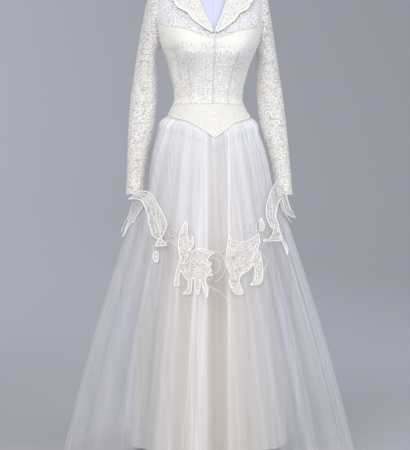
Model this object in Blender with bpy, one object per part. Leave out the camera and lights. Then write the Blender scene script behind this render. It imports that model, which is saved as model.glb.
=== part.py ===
"""A long-sleeved wedding dress of lace, tulle and satin, standing on a limbless dress form.

Frame: +Z is up and the floor is Z = 0. The front of the dress faces -Y and +X is the
wearer's left. Sizes below are in millimetres; meshes are written in metres.
A place on the dress is a turn in degrees round the Z axis, 0 at the front centre and
+90 at the wearer's left side, and a height above the floor.
"""
import math

import bpy
from mathutils import Vector
from mathutils.bvhtree import BVHTree

MM = 0.001

# Driving sizes
WAIST_SEAM = 1006.0
NECK_POINT = 1201.0
UNDERARM = 1174.0
SHOULDER_TIP = 1385.0
NECK_SIDE = 1434.0
NECK_BACK = 1425.0
YOKE_SEAM_BACK = 1226.0
HEM = 18.0
UNDERSKIRT_HEM = 30.0
CLOTH = 1.4
TULLE = 1.2
SEAM = 0.15
SEAM_TURN = 0.09
BUST_TURN = 33.0
BUST_HEIGHT = 1147.0
BUST_FULLNESS = 20.0
ARMHOLE_TURN = 24.0
ARMHOLE_STEPS = 7
ARMHOLE_GAP = 0.45
FOLD_CREST = 16.0
LEAF_START = 40.0
LEAF_SEAT = 0.45
LEAF_NET = 1.1
LEAF_CORD = 1.0

# Form and stand
FORM_FOOT = 880.0
NECK_TOP = 1495.0
CAP_RADIUS = 50.0
CAP_HEIGHT = 12.0
POLE_RADIUS = 16.0
BASE_RADIUS = 145.0
BASE_HEIGHT = 16.0

# Outer surface of the dress: height, half width, front, back, squareness of the section
SECTIONS = (
    (1500, 52, 40, 60, 2.0),
    (1446, 55, 39, 66, 2.0),
    (1434, 60, 41, 72, 2.0),
    (1426, 84, 48, 80, 2.2),
    (1414, 112, 55, 88, 2.3),
    (1400, 138, 60, 95, 2.4),
    (1385, 152, 66, 100, 2.5),
    (1350, 160, 76, 106, 2.6),
    (1314, 163, 88, 110, 2.7),
    (1270, 161, 100, 110, 2.7),
    (1235, 158, 112, 108, 2.6),
    (1209, 151, 120, 106, 2.4),
    (1174, 140, 122, 103, 2.3),
    (1150, 130, 120, 99, 2.2),
    (1128, 121, 112, 96, 2.2),
    (1082, 108, 96, 88, 2.1),
    (1050, 101, 88, 82, 2.1),
    (1024, 100, 84, 80, 2.0),
    (998, 110, 90, 84, 2.0),
    (980, 119, 98, 92, 2.0),
    (948, 140, 114, 112, 2.0),
    (909, 161, 136, 140, 2.0),
    (864, 182, 158, 166, 2.0),
    (784, 207, 184, 196, 2.0),
    (641, 250, 229, 246, 2.0),
    (473, 300, 281, 300, 2.0),
    (300, 350, 332, 354, 2.0),
    (150, 390, 373, 396, 2.0),
    (0, 428, 412, 436, 2.0),
)

# Satin underskirt below the basque: height, half width, front, back
UNDER_SECTIONS = (
    (1000, 98, 79, 73),
    (980, 109, 88, 82),
    (965, 117, 94, 90),
    (948, 125, 100, 99),
    (909, 136, 110, 114),
    (864, 144, 123, 130),
    (800, 152, 138, 146),
    (750, 156, 146, 154),
    (700, 166, 153, 162),
    (641, 178, 160, 170),
    (473, 198, 173, 187),
    (300, 212, 183, 199),
    (150, 221, 191, 207),
    (0, 228, 198, 214),
)

# How far each skirt layer lies outside the sections: drop below the basque's edge,
# overskirt, tulle skirt
LAYER_OFFSETS = (
    (-20, -3.0, -5.2),
    (4, -3.0, -5.2),
    (14, -0.5, -4.6),
    (40, 1.5, -4.0),
    (110, 1.0, -6.5),
    (300, 0.0, -8.0),
    (440, 2.0, -5.0),
    (640, 4.0, -1.0),
    (980, 4.0, 0.0),
)

# Sleeve pressing the tulle in at the side: height, depth
SIDE_HOLLOW = (
    (960, 0),
    (864, 15),
    (800, 25),
    (750, 33),
    (715, 24),
    (690, 11),
    (650, 0),
    (0, 0),
)

# Lower edge of the basque: turn either side of the front, height
BASQUE_EDGE = (
    (0, 905),
    (11, 926),
    (28, 951),
    (60, 968),
    (90, 981),
    (125, 981),
    (155, 972),
    (180, 958),
)

# Hem of the tulle overskirt: turn either side of the front, height
OVERSKIRT_HEM = (
    (0, 525),
    (14, 535),
    (27, 590),
    (42, 655),
    (60, 690),
    (90, 705),
    (120, 690),
    (138, 655),
    (153, 595),
    (166, 545),
    (180, 532),
)

# Seam between bodice and yoke at the front: turn, height
SWEETHEART = (
    (0, 1188),
    (12, 1197),
    (25, 1211),
    (45, 1222),
    (70, 1232),
)

# Turns of the columns along that seam
FRONT_TURNS = (0.09, 8, 16, 25, 34, 43, 52, 60, 68.6)

# Front neckline from the collar's point to the side of the neck: height, turn
NECKLINE = (
    (1201, 0),
    (1222, 1.6),
    (1250, 3.9),
    (1280, 6.7),
    (1308, 9.5),
    (1350, 13.4),
    (1390, 18.5),
    (1408, 27),
    (1420, 38),
    (1428, 58),
    (1434, 90),
)

# Skirt folds at the hem: turn, half of the fold's spread, height of the crest
FOLDS = (
    (-88, 7, 9),
    (-75, 8, 17),
    (-60, 8, 16),
    (-43, 7, 15),
    (-28, 7, 17),
    (-12, 6, 15),
    (-4, 4, -15),
    (3, 5, 14),
    (14, 6, 12),
    (26, 7, 15),
    (39, 6, 9),
    (53, 8, 17),
    (72, 9, 18),
    (88, 7, 9),
    (104, 9, 16),
    (122, 9, 14),
    (140, 9, 17),
    (158, 9, 14),
    (176, 9, 16),
    (194, 9, 13),
    (212, 9, 17),
    (231, 9, 14),
    (249, 9, 15),
)

# Underskirt folds at its hem: turn, half of the fold's spread, height of the crest
UNDER_FOLDS = (
    (-80, 15, 10),
    (-48, 14, 12),
    (-15, 11, 14),
    (1, 8, -9),
    (18, 11, 12),
    (48, 15, 11),
    (80, 15, 10),
    (112, 15, 12),
    (145, 15, 11),
    (180, 16, 13),
    (215, 15, 12),
    (248, 15, 11),
)

# Collar, wearer's left: inner turn, inner height, outer turn, outer height
COLLAR_ROWS = (
    (0.2, 1203, 1.2, 1204),
    (1.3, 1218, 7.8, 1217),
    (3.1, 1240, 14.3, 1236),
    (5.2, 1264, 20, 1258),
    (8.1, 1294, 31, 1279),
    (11, 1328, 38, 1304),
    (15, 1368, 44, 1336),
    (22, 1400, 53, 1368),
    (42, 1421, 68, 1392),
    (90, 1430, 90, 1403),
    (125, 1429, 122, 1393),
    (152, 1426, 150, 1377),
    (179.6, 1424, 179.6, 1368),
)
COLLAR_SCALLOPS = 8

# Sleeve rings below the armhole, wearer's left:
# inner x, inner height, outer x, outer height, depth of the middle, half depth
SLEEVE_RINGS = (
    (144, 1168, 167, 1345, 5, 51.5),
    (147, 1158, 179, 1300, 10, 57),
    (149, 1143, 190, 1245, 18, 56),
    (147, 1112, 201, 1180, 21, 52),
    (147, 1058, 214, 1095, 20, 48),
    (150, 1000, 225, 1020, 14, 45),
    (157, 940, 231, 948, 4, 42),
    (172, 880, 235, 884, -10, 36),
    (185, 815, 238, 817, -25, 31),
    (189, 780, 240, 780, -32, 29),
    (191, 751, 242, 749, -38, 27),
)

# Leaves of the overskirt's border: name, foot turn and height, bend turn and height,
# tip turn and height, half width, squareness of the outline, order of laying,
# how far the tip flares out
LEAVES = (
    ("leaf_side_right", -67, 716, -88, 698, -77, 627, 33, 0.75, 0, 14),
    ("leaf_sickle_right", -40, 603, -49, 762, -73, 737, 22, 0.80, 1, 34),
    ("leaf_drop_right", -41, 590, -41, 578, -39, 560, 6.5, 0.80, 0, 0),
    ("leaf_tip_right", -19, 571, -31, 604, -24, 675, 13, 0.75, 0, 0),
    ("leaf_horn_right", -14, 590, -19, 606, -19.5, 636, 7, 0.75, 0, 0),
    ("leaf_lobe_right", -19, 588, -28.5, 616, -29, 566, 12, 0.70, 1, 0),
    ("leaf_flower_right", -6, 593, -17, 593, -18.7, 528, 22, 0.60, 2, 0),
    ("leaf_leg_right", -25, 568, -30, 549, -25.5, 496, 8, 0.75, 0, 0),
    ("leaf_finger_outer", -18, 539, -23, 512, -18, 469, 11, 0.65, 0, 0),
    ("leaf_finger_middle", -12.8, 544, -16, 507, -12.9, 470, 10, 0.65, 0, 0),
    ("leaf_finger_inner", -7.4, 560, -11.4, 502, -6.9, 462, 9, 0.70, 0, 0),
    ("leaf_horn_left", 4.9, 572, 3.3, 653, 27, 633, 21, 0.65, 0, 0),
    ("leaf_plume_left", 4.7, 539, 17, 549, 25, 603, 22, 0.70, 1, 0),
    ("leaf_leg_left", 6.8, 548, 7, 501, 11.6, 469, 16, 0.65, 0, 0),
    ("leaf_bract_left", 26, 592, 29.6, 548, 17.3, 495, 11, 0.75, 0, 0),
    ("leaf_bud_left", 29.3, 645, 31.4, 658, 31.5, 680, 6.5, 0.80, 1, 0),
    ("leaf_wing_left", 52, 630, 43, 653, 32, 622, 13, 0.70, 2, 0),
    ("leaf_sickle_left", 40, 641, 62, 692, 60, 768, 18, 0.70, 0, 14),
    ("leaf_frond_left", 41.5, 647, 36.5, 697, 47, 743, 11, 0.75, 1, 0),
    ("leaf_side_left", 73, 736, 76, 704, 75, 668, 20, 0.75, 0, 12),
    ("leaf_tail_left", 47, 622, 53, 610, 50, 580, 6, 0.80, 0, 0),
    ("leaf_back_side_left", 98, 718, 114, 700, 106, 636, 28, 0.75, 0, 8),
    ("leaf_back_sickle_left", 140, 606, 136, 728, 118, 716, 22, 0.75, 0, 0),
    ("leaf_back_flower_left", 164, 585, 152, 604, 150, 548, 22, 0.65, 0, 0),
    ("leaf_back_finger_left", 167, 560, 162, 512, 166, 476, 12, 0.65, 0, 0),
    ("leaf_back_horn_right", 184, 566, 183, 645, 206, 628, 21, 0.65, 0, 0),
    ("leaf_back_leg_right", 186, 540, 186, 500, 191, 470, 15, 0.65, 0, 0),
    ("leaf_back_sickle_right", 220, 610, 232, 724, 244, 720, 21, 0.75, 0, 0),
    ("leaf_back_side_right", 262, 718, 248, 700, 254, 636, 28, 0.75, 0, 8),
)
LEAF_ROWS = (0.0, 0.14, 0.38, 0.64, 0.88, 1.0)
LEAF_COLUMNS = (-1.0, -0.76, 0.0, 0.76, 1.0)


class Table:
    """Rows keyed by their first column and read between rows along smooth curves."""

    def __init__(self, rows):
        self.rows = sorted(rows)
        self.keys = [row[0] for row in self.rows]
        self.slopes = [self.column_slopes(column) for column in range(1, len(self.rows[0]))]

    def column_slopes(self, column):
        steps = []
        for low, high in zip(self.rows, self.rows[1:]):
            steps.append((high[column] - low[column]) / (high[0] - low[0]))
        slopes = [steps[0]]
        for before, after in zip(steps, steps[1:]):
            slopes.append(0.0 if before * after <= 0 else 2 * before * after / (before + after))
        slopes.append(steps[-1])
        return slopes

    def at(self, key, column=1):
        key = min(max(key, self.keys[0]), self.keys[-1])
        row = 0
        while row < len(self.keys) - 2 and key > self.keys[row + 1]:
            row += 1
        span = self.keys[row + 1] - self.keys[row]
        s = (key - self.keys[row]) / span
        low = self.rows[row][column]
        high = self.rows[row + 1][column]
        slope_low = self.slopes[column - 1][row] * span
        slope_high = self.slopes[column - 1][row + 1] * span
        return (
            low * (1 + 2 * s) * (1 - s) ** 2
            + slope_low * s * (1 - s) ** 2
            + high * s * s * (3 - 2 * s)
            - slope_high * s * s * (1 - s)
        )


SECTION = Table(SECTIONS)
FORM_INSET = Table((
    (880, 42.0),
    (909, 34.0),
    (948, 24.0),
    (980, 14.0),
    (1006, 10.0),
    (1040, 6.0),
    (1120, 6.2),
    (1160, 5.0),
    (1200, 4.0),
    (1330, 5.5),
    (1360, 7.6),
    (1390, 8.4),
    (1415, 7.6),
    (1434, 5.0),
    (1446, 4.0),
    (1500, 3.2),
))
UNDER = Table(UNDER_SECTIONS)
OFFSET = Table(LAYER_OFFSETS)
HOLLOW = Table(SIDE_HOLLOW)
EDGE = Table(BASQUE_EDGE)
OVER_HEM = Table(OVERSKIRT_HEM)
SWEET = Table(SWEETHEART)
NECK = Table(NECKLINE)
COLLAR = Table([(row_number,) + row for row_number, row in enumerate(COLLAR_ROWS)])
SLEEVE = Table([(row_number,) + row for row_number, row in enumerate(SLEEVE_RINGS)])


def off_front(turn):
    """Turn either side of the front centre, 0 to 180."""
    return abs((turn + 180.0) % 360.0 - 180.0)


def section_point(turn, half_width, front, back, squareness, height):
    """Point of one level section, a rounded oval."""
    angle = math.radians(turn)
    power = 2.0 / squareness
    side = math.copysign(abs(math.sin(angle)) ** power, math.sin(angle))
    ahead = math.copysign(abs(math.cos(angle)) ** power, math.cos(angle))
    middle = (back - front) / 2
    depth = (back + front) / 2
    return Vector((half_width * side, middle - depth * ahead, height))


def body(turn, height):
    """Outer surface of the dress without folds, with the fullness of the bust."""
    values = [SECTION.at(height, column) for column in (1, 2, 3, 4)]
    point = section_point(turn, values[0], values[1], values[2], values[3], height)
    rise = (height - BUST_HEIGHT) / (50.0 if height > BUST_HEIGHT else 40.0)
    sideways = (off_front(turn) - BUST_TURN) / 19.0
    if off_front(turn) < 100:
        point.y -= BUST_FULLNESS * math.exp(-rise * rise - sideways * sideways)
    return point


def normal(surface, turn, height):
    across = surface(turn + 0.4, height) - surface(turn - 0.4, height)
    upward = surface(turn, height + 0.8) - surface(turn, height - 0.8)
    return across.cross(upward).normalized()


def off(surface, turn, height, out):
    """Point of a surface moved out along its normal."""
    return surface(turn, height) + normal(surface, turn, height) * out


def bump(distance):
    if abs(distance) >= 1:
        return 0.0
    return 0.5 + 0.5 * math.cos(math.pi * distance)


def folds(turn, rows):
    """Height of the folds at the hem for a turn."""
    total = 0.0
    for centre, spread, crest in rows:
        away = (turn - centre + 180.0) % 360.0 - 180.0
        total += crest * bump(away / spread)
    return total


def growth(turn, height):
    """Share of the full fold, nothing at the basque's edge and all of it at the hem."""
    edge = EDGE.at(off_front(turn))
    share = (edge - height) / (edge - HEM)
    return max(share, 0.0) ** 0.62


def outward(point):
    level = Vector((point.x, point.y, 0.0))
    return level.normalized()


def bridged_folds(turn):
    """Folds as stiff lace rides over them, its hollows filled in."""
    return max(folds(turn + away, FOLDS) - 0.12 * away * away for away in range(-12, 13, 2))


def skirt(turn, height, layer, pressed=True):
    """Middle of the tulle skirt (layer 2) or of the overskirt (layer 1)."""
    point = body(turn, height)
    out = OFFSET.at(EDGE.at(off_front(turn)) - height, layer)
    crest = folds(turn, FOLDS) if pressed else bridged_folds(turn)
    out += growth(turn, height) * (crest - FOLD_CREST)
    if pressed:
        side = (off_front(turn) - 82.0) / 19.0
        out -= HOLLOW.at(height) * math.exp(-side * side)
    return point + outward(point) * out


def overskirt(turn, height):
    return skirt(turn, height, 1)


def tulle_skirt(turn, height):
    return skirt(turn, height, 2)


def border(turn, height):
    """Surface the lace leaves lie on; they stand free where the sleeve presses the tulle."""
    return skirt(turn, height, 1, pressed=False)


def underskirt(turn, height):
    """Middle of the satin underskirt."""
    values = [UNDER.at(height, column) for column in (1, 2, 3)]
    point = section_point(turn, values[0], values[1], values[2], 2.0, height)
    return point + outward(point) * growth(turn, height) * (folds(turn, UNDER_FOLDS) - 5.0)


def material(name, colour, roughness=0.6, metallic=0.0):
    made = bpy.data.materials.new(name)
    made.use_nodes = True
    shader = made.node_tree.nodes["Principled BSDF"]
    shader.inputs["Base Color"].default_value = (*colour, 1.0)
    shader.inputs["Roughness"].default_value = roughness
    shader.inputs["Metallic"].default_value = metallic
    return made


def volume(points, faces):
    total = 0.0
    for face in faces:
        first = points[face[0]]
        for second, third in zip(face[1:], face[2:]):
            total += first.dot(points[second].cross(points[third]))
    return total / 6


def solid(name, points, faces, look):
    if volume(points, faces) < 0:
        faces = [tuple(reversed(face)) for face in faces]
    mesh = bpy.data.meshes.new(name)
    mesh.from_pydata([point * MM for point in points], [], faces)
    mesh.validate()
    mesh.update()
    made = bpy.data.objects.new(name, mesh)
    bpy.context.scene.collection.objects.link(made)
    mesh.materials.append(look)
    return made


def shell(name, outer, inner, look, tube=False):
    """Closed wall between two grids of points, rows from top to bottom, columns by turn."""
    rows = len(outer)
    columns = len(outer[0])
    points = [point for row in outer for point in row] + [point for row in inner for point in row]
    shift = rows * columns
    faces = []
    last = columns if tube else columns - 1
    for r in range(rows - 1):
        for c in range(last):
            a = r * columns + c
            b = r * columns + (c + 1) % columns
            d = a + columns
            e = b + columns
            faces.append((a, d, e, b))
            faces.append((a + shift, b + shift, e + shift, d + shift))
    for c in range(last):
        top = (c, (c + 1) % columns)
        low = ((rows - 1) * columns + c, (rows - 1) * columns + (c + 1) % columns)
        faces.append((top[0], top[1], top[1] + shift, top[0] + shift))
        faces.append((low[1], low[0], low[0] + shift, low[1] + shift))
    if not tube:
        for r in range(rows - 1):
            a = r * columns
            faces.append((a, a + shift, a + columns + shift, a + columns))
            b = a + columns - 1
            faces.append((b, b + columns, b + columns + shift, b + shift))
    return solid(name, points, faces, look)


def blend(edge, share):
    """Point of a line of (turn, height) pairs at a share of its number of steps."""
    place = share * (len(edge) - 1)
    step = min(int(place), len(edge) - 2)
    part = place - step
    low, high = edge[step], edge[step + 1]
    return (low[0] + (high[0] - low[0]) * part, low[1] + (high[1] - low[1]) * part)


def patch(bottom, top, left, right, columns, rows):
    """Grid of (turn, height) places filled in between four edges, rows from the top."""
    grid = []
    for r in range(rows):
        v = 1.0 - r / (rows - 1)
        line = []
        for c in range(columns):
            u = c / (columns - 1)
            low, high = blend(bottom, u), blend(top, u)
            near, far = blend(left, v), blend(right, v)
            place = []
            for axis in (0, 1):
                corners = (
                    (1 - u) * (1 - v) * bottom[0][axis]
                    + u * (1 - v) * bottom[-1][axis]
                    + (1 - u) * v * top[0][axis]
                    + u * v * top[-1][axis]
                )
                across = (1 - v) * low[axis] + v * high[axis]
                along = (1 - u) * near[axis] + u * far[axis]
                place.append(across + along - corners)
            line.append(tuple(place))
        grid.append(line)
    return grid


def mirrored(grid):
    """The same places on the wearer's right, columns kept in the order of turn."""
    return [[(-turn, height) for turn, height in reversed(row)] for row in grid]


def cloth(name, grid, surface, thickness, look, out=0.0):
    """Panel of cloth whose outer face lies on a surface moved out."""
    outer = [[off(surface, turn, height, out) for turn, height in row] for row in grid]
    inner = [[off(surface, turn, height, out - thickness) for turn, height in row] for row in grid]
    return shell(name, outer, inner, look)


def armhole(height, back=False):
    """Turn of the armhole's front or back edge at a height."""
    middle = (UNDERARM + SHOULDER_TIP) / 2
    half = (SHOULDER_TIP - UNDERARM) / 2
    share = min(max((height - middle) / half, -1.0), 1.0)
    away = ARMHOLE_TURN * math.sqrt(1 - share * share)
    return 90.0 + away if back else 90.0 - away


def line(start, end, steps):
    return [
        (start[0] + (end[0] - start[0]) * i / steps, start[1] + (end[1] - start[1]) * i / steps)
        for i in range(steps + 1)
    ]


def rise(low, high, steps, back=False):
    """Armhole edge between two heights, its points closer together at the ends."""
    middle = (UNDERARM + SHOULDER_TIP) / 2
    half = (SHOULDER_TIP - UNDERARM) / 2
    start = math.acos(min(max((middle - low) / half, -1.0), 1.0))
    end = math.acos(min(max((middle - high) / half, -1.0), 1.0))
    edge = []
    for i in range(steps + 1):
        height = middle - half * math.cos(start + (end - start) * i / steps)
        edge.append((armhole(height, back), height))
    return edge


def build_bodice(lace):
    front_top = [(turn, SWEET.at(turn) - SEAM) for turn in FRONT_TURNS]
    seam_side = front_top[-1][1]
    centre = line((SEAM_TURN, WAIST_SEAM + SEAM), front_top[0], 8)
    side = line((90 - SEAM_TURN, WAIST_SEAM + SEAM), (90 - SEAM_TURN, UNDERARM), 5)
    side += rise(UNDERARM, seam_side, 3)[1:]
    low = line((SEAM_TURN, WAIST_SEAM + SEAM), (90 - SEAM_TURN, WAIST_SEAM + SEAM), 8)
    front_top[-1] = side[-1]
    grid = patch(low, front_top, centre, side, 9, 9)
    cloth("bodice_front_left", grid, body, CLOTH, lace)
    cloth("bodice_front_right", mirrored(grid), body, CLOTH, lace)

    edge = rise(UNDERARM, YOKE_SEAM_BACK - SEAM, 3, back=True)
    side = line((90 + SEAM_TURN, WAIST_SEAM + SEAM), (90 + SEAM_TURN, UNDERARM), 5) + edge[1:]
    centre = line((180 - SEAM_TURN, WAIST_SEAM + SEAM), (180 - SEAM_TURN, YOKE_SEAM_BACK - SEAM), 8)
    low = line(side[0], centre[0], 8)
    top = line(side[-1], centre[-1], 8)
    grid = patch(low, top, side, centre, 8, 9)
    cloth("bodice_back_left", grid, body, CLOTH, lace)
    cloth("bodice_back_right", mirrored(grid), body, CLOTH, lace)


def build_yoke(lace):
    bottom = [(turn, SWEET.at(turn) + SEAM) for turn in FRONT_TURNS]
    neck = [(max(NECK.at(height), SEAM_TURN), height) for height in
            (NECK_POINT, 1255, 1310, 1365, 1402, 1422)]
    neck = [bottom[0]] + neck + [(90 - SEAM_TURN, NECK_SIDE)]
    arm = rise(bottom[-1][1], SHOULDER_TIP, ARMHOLE_STEPS)
    arm[-1] = (90 - SEAM_TURN, SHOULDER_TIP)
    bottom[-1] = arm[0]
    top = [(90 - SEAM_TURN, height) for height in (NECK_SIDE, 1427, 1417, 1403, SHOULDER_TIP)]
    grid = patch(bottom, top, neck, arm, 9, ARMHOLE_STEPS + 1)
    cloth("yoke_front_left", grid, body, CLOTH, lace)
    cloth("yoke_front_right", mirrored(grid), body, CLOTH, lace)

    arm = rise(YOKE_SEAM_BACK + SEAM, SHOULDER_TIP, ARMHOLE_STEPS, back=True)
    arm[-1] = (90 + SEAM_TURN, SHOULDER_TIP)
    far = [(360 - turn, height) for turn, height in arm]
    shoulder = [(90 + SEAM_TURN, height) for height in (SHOULDER_TIP, 1403, 1417, 1427, NECK_SIDE)]
    nape = [(turn, NECK_SIDE + (NECK_BACK - NECK_SIDE) * math.sin(math.radians(turn - 90)))
            for turn in (115, 138, 160, 180, 200, 222, 245)]
    top = shoulder + nape + [(360 - turn, height) for turn, height in reversed(shoulder)]
    low = line(arm[0], far[0], 10)
    grid = patch(low, top, arm, far, 17, ARMHOLE_STEPS + 1)
    cloth("yoke_back", grid, body, CLOTH, lace)


def build_basque(lace):
    for name, start, end in (("basque_front", -90, 90), ("basque_back", 90, 270)):
        grid = []
        for share in (0.0, 0.22, 0.46, 0.72, 1.0):
            row = []
            for step in range(23):
                turn = start + SEAM_TURN + (end - start - 2 * SEAM_TURN) * step / 22
                top = WAIST_SEAM - SEAM
                row.append((turn, top + (EDGE.at(off_front(turn)) - top) * share))
            grid.append(row)
        cloth(name, grid, body, CLOTH, lace)


def build_collar(lace):
    rows = len(COLLAR_ROWS) - 1
    steps = rows * 2
    places = []
    for step in range(steps + 1):
        key = step / 2
        inner = Vector((COLLAR.at(key, 1), COLLAR.at(key, 2)))
        outer = Vector((COLLAR.at(key, 3), COLLAR.at(key, 4)))
        lobe = abs(math.sin(math.pi * COLLAR_SCALLOPS * step / steps))
        reach = 0.93 + 0.09 * math.sqrt(lobe)
        places.append((inner, inner + (outer - inner) * reach))
    across = (0.0, 0.45, 0.88, 1.0)
    lift = (0.5, 2.2, 3.4, 3.8)
    raised = (1.6, 1.5, 2.3, 2.3)
    for name, side in (("collar_left", 1), ("collar_right", -1)):
        outer_grid, inner_grid = [], []
        for share, base, thick in zip(across, lift, raised):
            tops, lows = [], []
            for step, (inner, outer) in enumerate(places):
                place = inner + (outer - inner) * share
                turn = side * place.x
                low = base + 2.2 * min(step / 9, 1.0)
                lows.append(off(body, turn, place.y, low))
                tops.append(off(body, turn, place.y, low + thick))
            if side < 0:
                tops.reverse()
                lows.reverse()
            outer_grid.append(tops)
            inner_grid.append(lows)
        shell(name, outer_grid, inner_grid, lace)


def grid_normals(grid):
    """Outward normals of a closed tube's grid of points."""
    rows, columns = len(grid), len(grid[0])
    normals = []
    for r in range(rows):
        line_of = []
        for c in range(columns):
            across = grid[r][(c + 1) % columns] - grid[r][c - 1]
            down = grid[min(r + 1, rows - 1)][c] - grid[max(r - 1, 0)][c]
            line_of.append(across.cross(down).normalized())
        normals.append(line_of)
    return normals


def sleeve_point(ring, angle):
    """Point of the wearer's left sleeve; ring counts from the first below the armhole."""
    values = [SLEEVE.at(ring, column) for column in range(1, 7)]
    inner = Vector((values[0], values[4], values[1]))
    outer = Vector((values[2], values[4], values[3]))
    middle = (inner + outer) / 2
    point = middle + (outer - inner) / 2 * math.cos(angle)
    point.y -= values[5] * math.sin(angle)
    return point


def armhole_loop():
    """Places round the armhole's edge from the shoulder down the front and up the back."""
    front = rise(UNDERARM, SWEET.at(FRONT_TURNS[-1]), 3)[1:]
    front += rise(front[-1][1], SHOULDER_TIP, ARMHOLE_STEPS)[1:-1]
    back = rise(UNDERARM, YOKE_SEAM_BACK, 3, back=True)[1:]
    back += rise(YOKE_SEAM_BACK, SHOULDER_TIP, ARMHOLE_STEPS, back=True)[1:-1]
    return [(90, SHOULDER_TIP)] + front[::-1] + [(90, UNDERARM)] + back


def build_sleeves(lace):
    middle = (UNDERARM + SHOULDER_TIP) / 2
    half = (SHOULDER_TIP - UNDERARM) / 2
    loop = armhole_loop()
    angles = []
    for turn, height in loop:
        angle = math.acos(min(max((height - middle) / half, -1.0), 1.0))
        angles.append(angle if turn <= 90 else -angle)
    edge = [body(turn, height) for turn, height in loop]
    centre = sum(edge, Vector()) / len(edge)
    outer = [[point + (centre - point).normalized() * ARMHOLE_GAP for point in edge]]
    for ring in range(len(SLEEVE_RINGS)):
        outer.append([sleeve_point(ring, angle) for angle in angles])
    normals = grid_normals(outer)
    inner = []
    for r, (row, row_normals) in enumerate(zip(outer, normals)):
        inner_row = []
        for place, angle, point, away in zip(loop, angles, row, row_normals):
            if r == 0:
                share = min(max((math.cos(angle) + 0.6) / 0.9, 0.0), 1.0)
                away = away.lerp(normal(body, place[0], place[1]), share).normalized()
            inner_row.append(point - away * CLOTH)
        inner.append(inner_row)
    shell("sleeve_left", outer, inner, lace, tube=True)
    flip = []
    for grid in (outer, inner):
        flip.append([[Vector((-p.x, p.y, p.z)) for p in row] for row in grid])
    shell("sleeve_right", flip[0], flip[1], lace, tube=True)


def fold_columns(rows, start, end, least):
    """Turns at the crests, flanks and hollows of the folds between two side seams."""
    turns = [start + SEAM_TURN, end - SEAM_TURN]
    ordered = sorted(rows)
    wrapped = [(centre + shift, spread) for shift in (-360, 0, 360) for centre, spread, _ in ordered]
    marks = []
    for centre, spread in wrapped:
        marks += [centre, centre - spread * 0.5, centre + spread * 0.5]
    for (low, low_spread), (high, high_spread) in zip(wrapped, wrapped[1:]):
        marks.append((low + low_spread * 0.5 + high - high_spread * 0.5) / 2)
    for mark in sorted(marks):
        if start < mark < end and min(abs(mark - turn) for turn in turns) > least:
            turns.append(mark)
    return sorted(turns)


def skirt_grid(turns, drops, spans):
    """Rows a fixed drop below the basque's edge, then shares of the way to each hem."""
    grid = []
    for drop in drops:
        grid.append([(turn, EDGE.at(off_front(turn)) - drop) for turn in turns])
    for shares, hem in spans:
        last = grid[-1]
        for share in shares:
            grid.append([(turn, high + (hem(turn) - high) * share) for turn, high in last])
    return grid


def overskirt_hem(turn):
    return OVER_HEM.at(off_front(turn))


def build_skirts(satin, tulle):
    gathers = (-7, 3, 22, 80)
    short = ((0.32, 0.66, 1.0), overskirt_hem)
    long = ((0.4, 1.0), lambda turn: HEM)
    satin_rows = ((0.35, 0.68, 1.0), lambda turn: UNDERSKIRT_HEM)
    plans = (
        ("underskirt", underskirt, UNDER_FOLDS, 4.2, CLOTH, satin, (-7, 6, 45, 120),
         (satin_rows,)),
        ("tulle_skirt", tulle_skirt, FOLDS, 2.7, TULLE, tulle, gathers, (short, long)),
        ("overskirt", overskirt, FOLDS, 2.7, TULLE, tulle, gathers, (short,)),
    )
    made = []
    for name, surface, rows, least, thickness, look, drops, spans in plans:
        for part, start, end in (("front", -90, 90), ("back", 90, 270)):
            turns = fold_columns(rows, start, end, least)
            grid = skirt_grid(turns, drops, spans)
            made.append(cloth(name + "_" + part, grid, surface, thickness, look, thickness / 2))
    return made


def leaf_places(surface, foot, bend, tip, half_width, squareness):
    """Rows of (turn, height, share of the length, column) over a leaf with a bent spine."""
    height = (foot[1] + tip[1]) / 2
    radius = (surface(bend[0], height).xy).length

    def flat(place):
        return Vector((math.radians(place[0]) * radius, place[1]))

    start, middle, end = flat(foot), flat(bend), flat(tip)
    rows = []
    for share in LEAF_ROWS:
        spine = start * (1 - share) ** 2 + middle * 2 * share * (1 - share) + end * share * share
        heading = (middle - start) * (1 - share) + (end - middle) * share
        sideways = Vector((heading.y, -heading.x)).normalized()
        width = half_width * max(math.sin(math.pi * share), 0.0) ** squareness + 1.6
        row = []
        for column in LEAF_COLUMNS:
            place = spine + sideways * width * column
            row.append((math.degrees(place.x / radius), place.y, share, column))
        rows.append(row)
    return rows


def leaf_faces(surface, rows, out, flare):
    """Outer and inner points of a leaf, its rim raised over a plain inside."""
    tops, lows = [], []
    for row in rows:
        top_row, low_row = [], []
        for turn, height, share, column in row:
            raise_by = LEAF_CORD if abs(column) > 0.5 or share in (0.0, 1.0) else 0.0
            low = out + flare * share * share
            low_row.append(off(surface, turn, height, low))
            top_row.append(off(surface, turn, height, low + LEAF_NET + raise_by))
        tops.append(top_row)
        lows.append(low_row)
    return tops, lows


def room_below(surface, rows, lows, trees):
    """Least distance from a leaf's inner face down to what it will lie on."""
    least = LEAF_START * 2
    steps = 7
    for row, upper, lower in zip(rows, lows, lows[1:]):
        for c in range(len(upper) - 1):
            corners = (upper[c], upper[c + 1], lower[c], lower[c + 1])
            inward = -normal(surface, row[c][0], row[c][1])
            starts = []
            for i in range(steps + 1):
                near = corners[0].lerp(corners[1], i / steps)
                far = corners[2].lerp(corners[3], i / steps)
                starts += [near.lerp(far, j / steps) for j in range(steps + 1)]
                starts.append(corners[0].lerp(corners[3], i / steps))
                starts.append(corners[1].lerp(corners[2], i / steps))
            for start in starts:
                for tree in trees:
                    distance = tree.ray_cast(start, inward)[3]
                    if distance is not None:
                        least = min(least, distance)
    return least


def tree_of(made):
    points = [vertex.co / MM for vertex in made.data.vertices]
    return BVHTree.FromPolygons(points, [tuple(face.vertices) for face in made.data.polygons])


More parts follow.
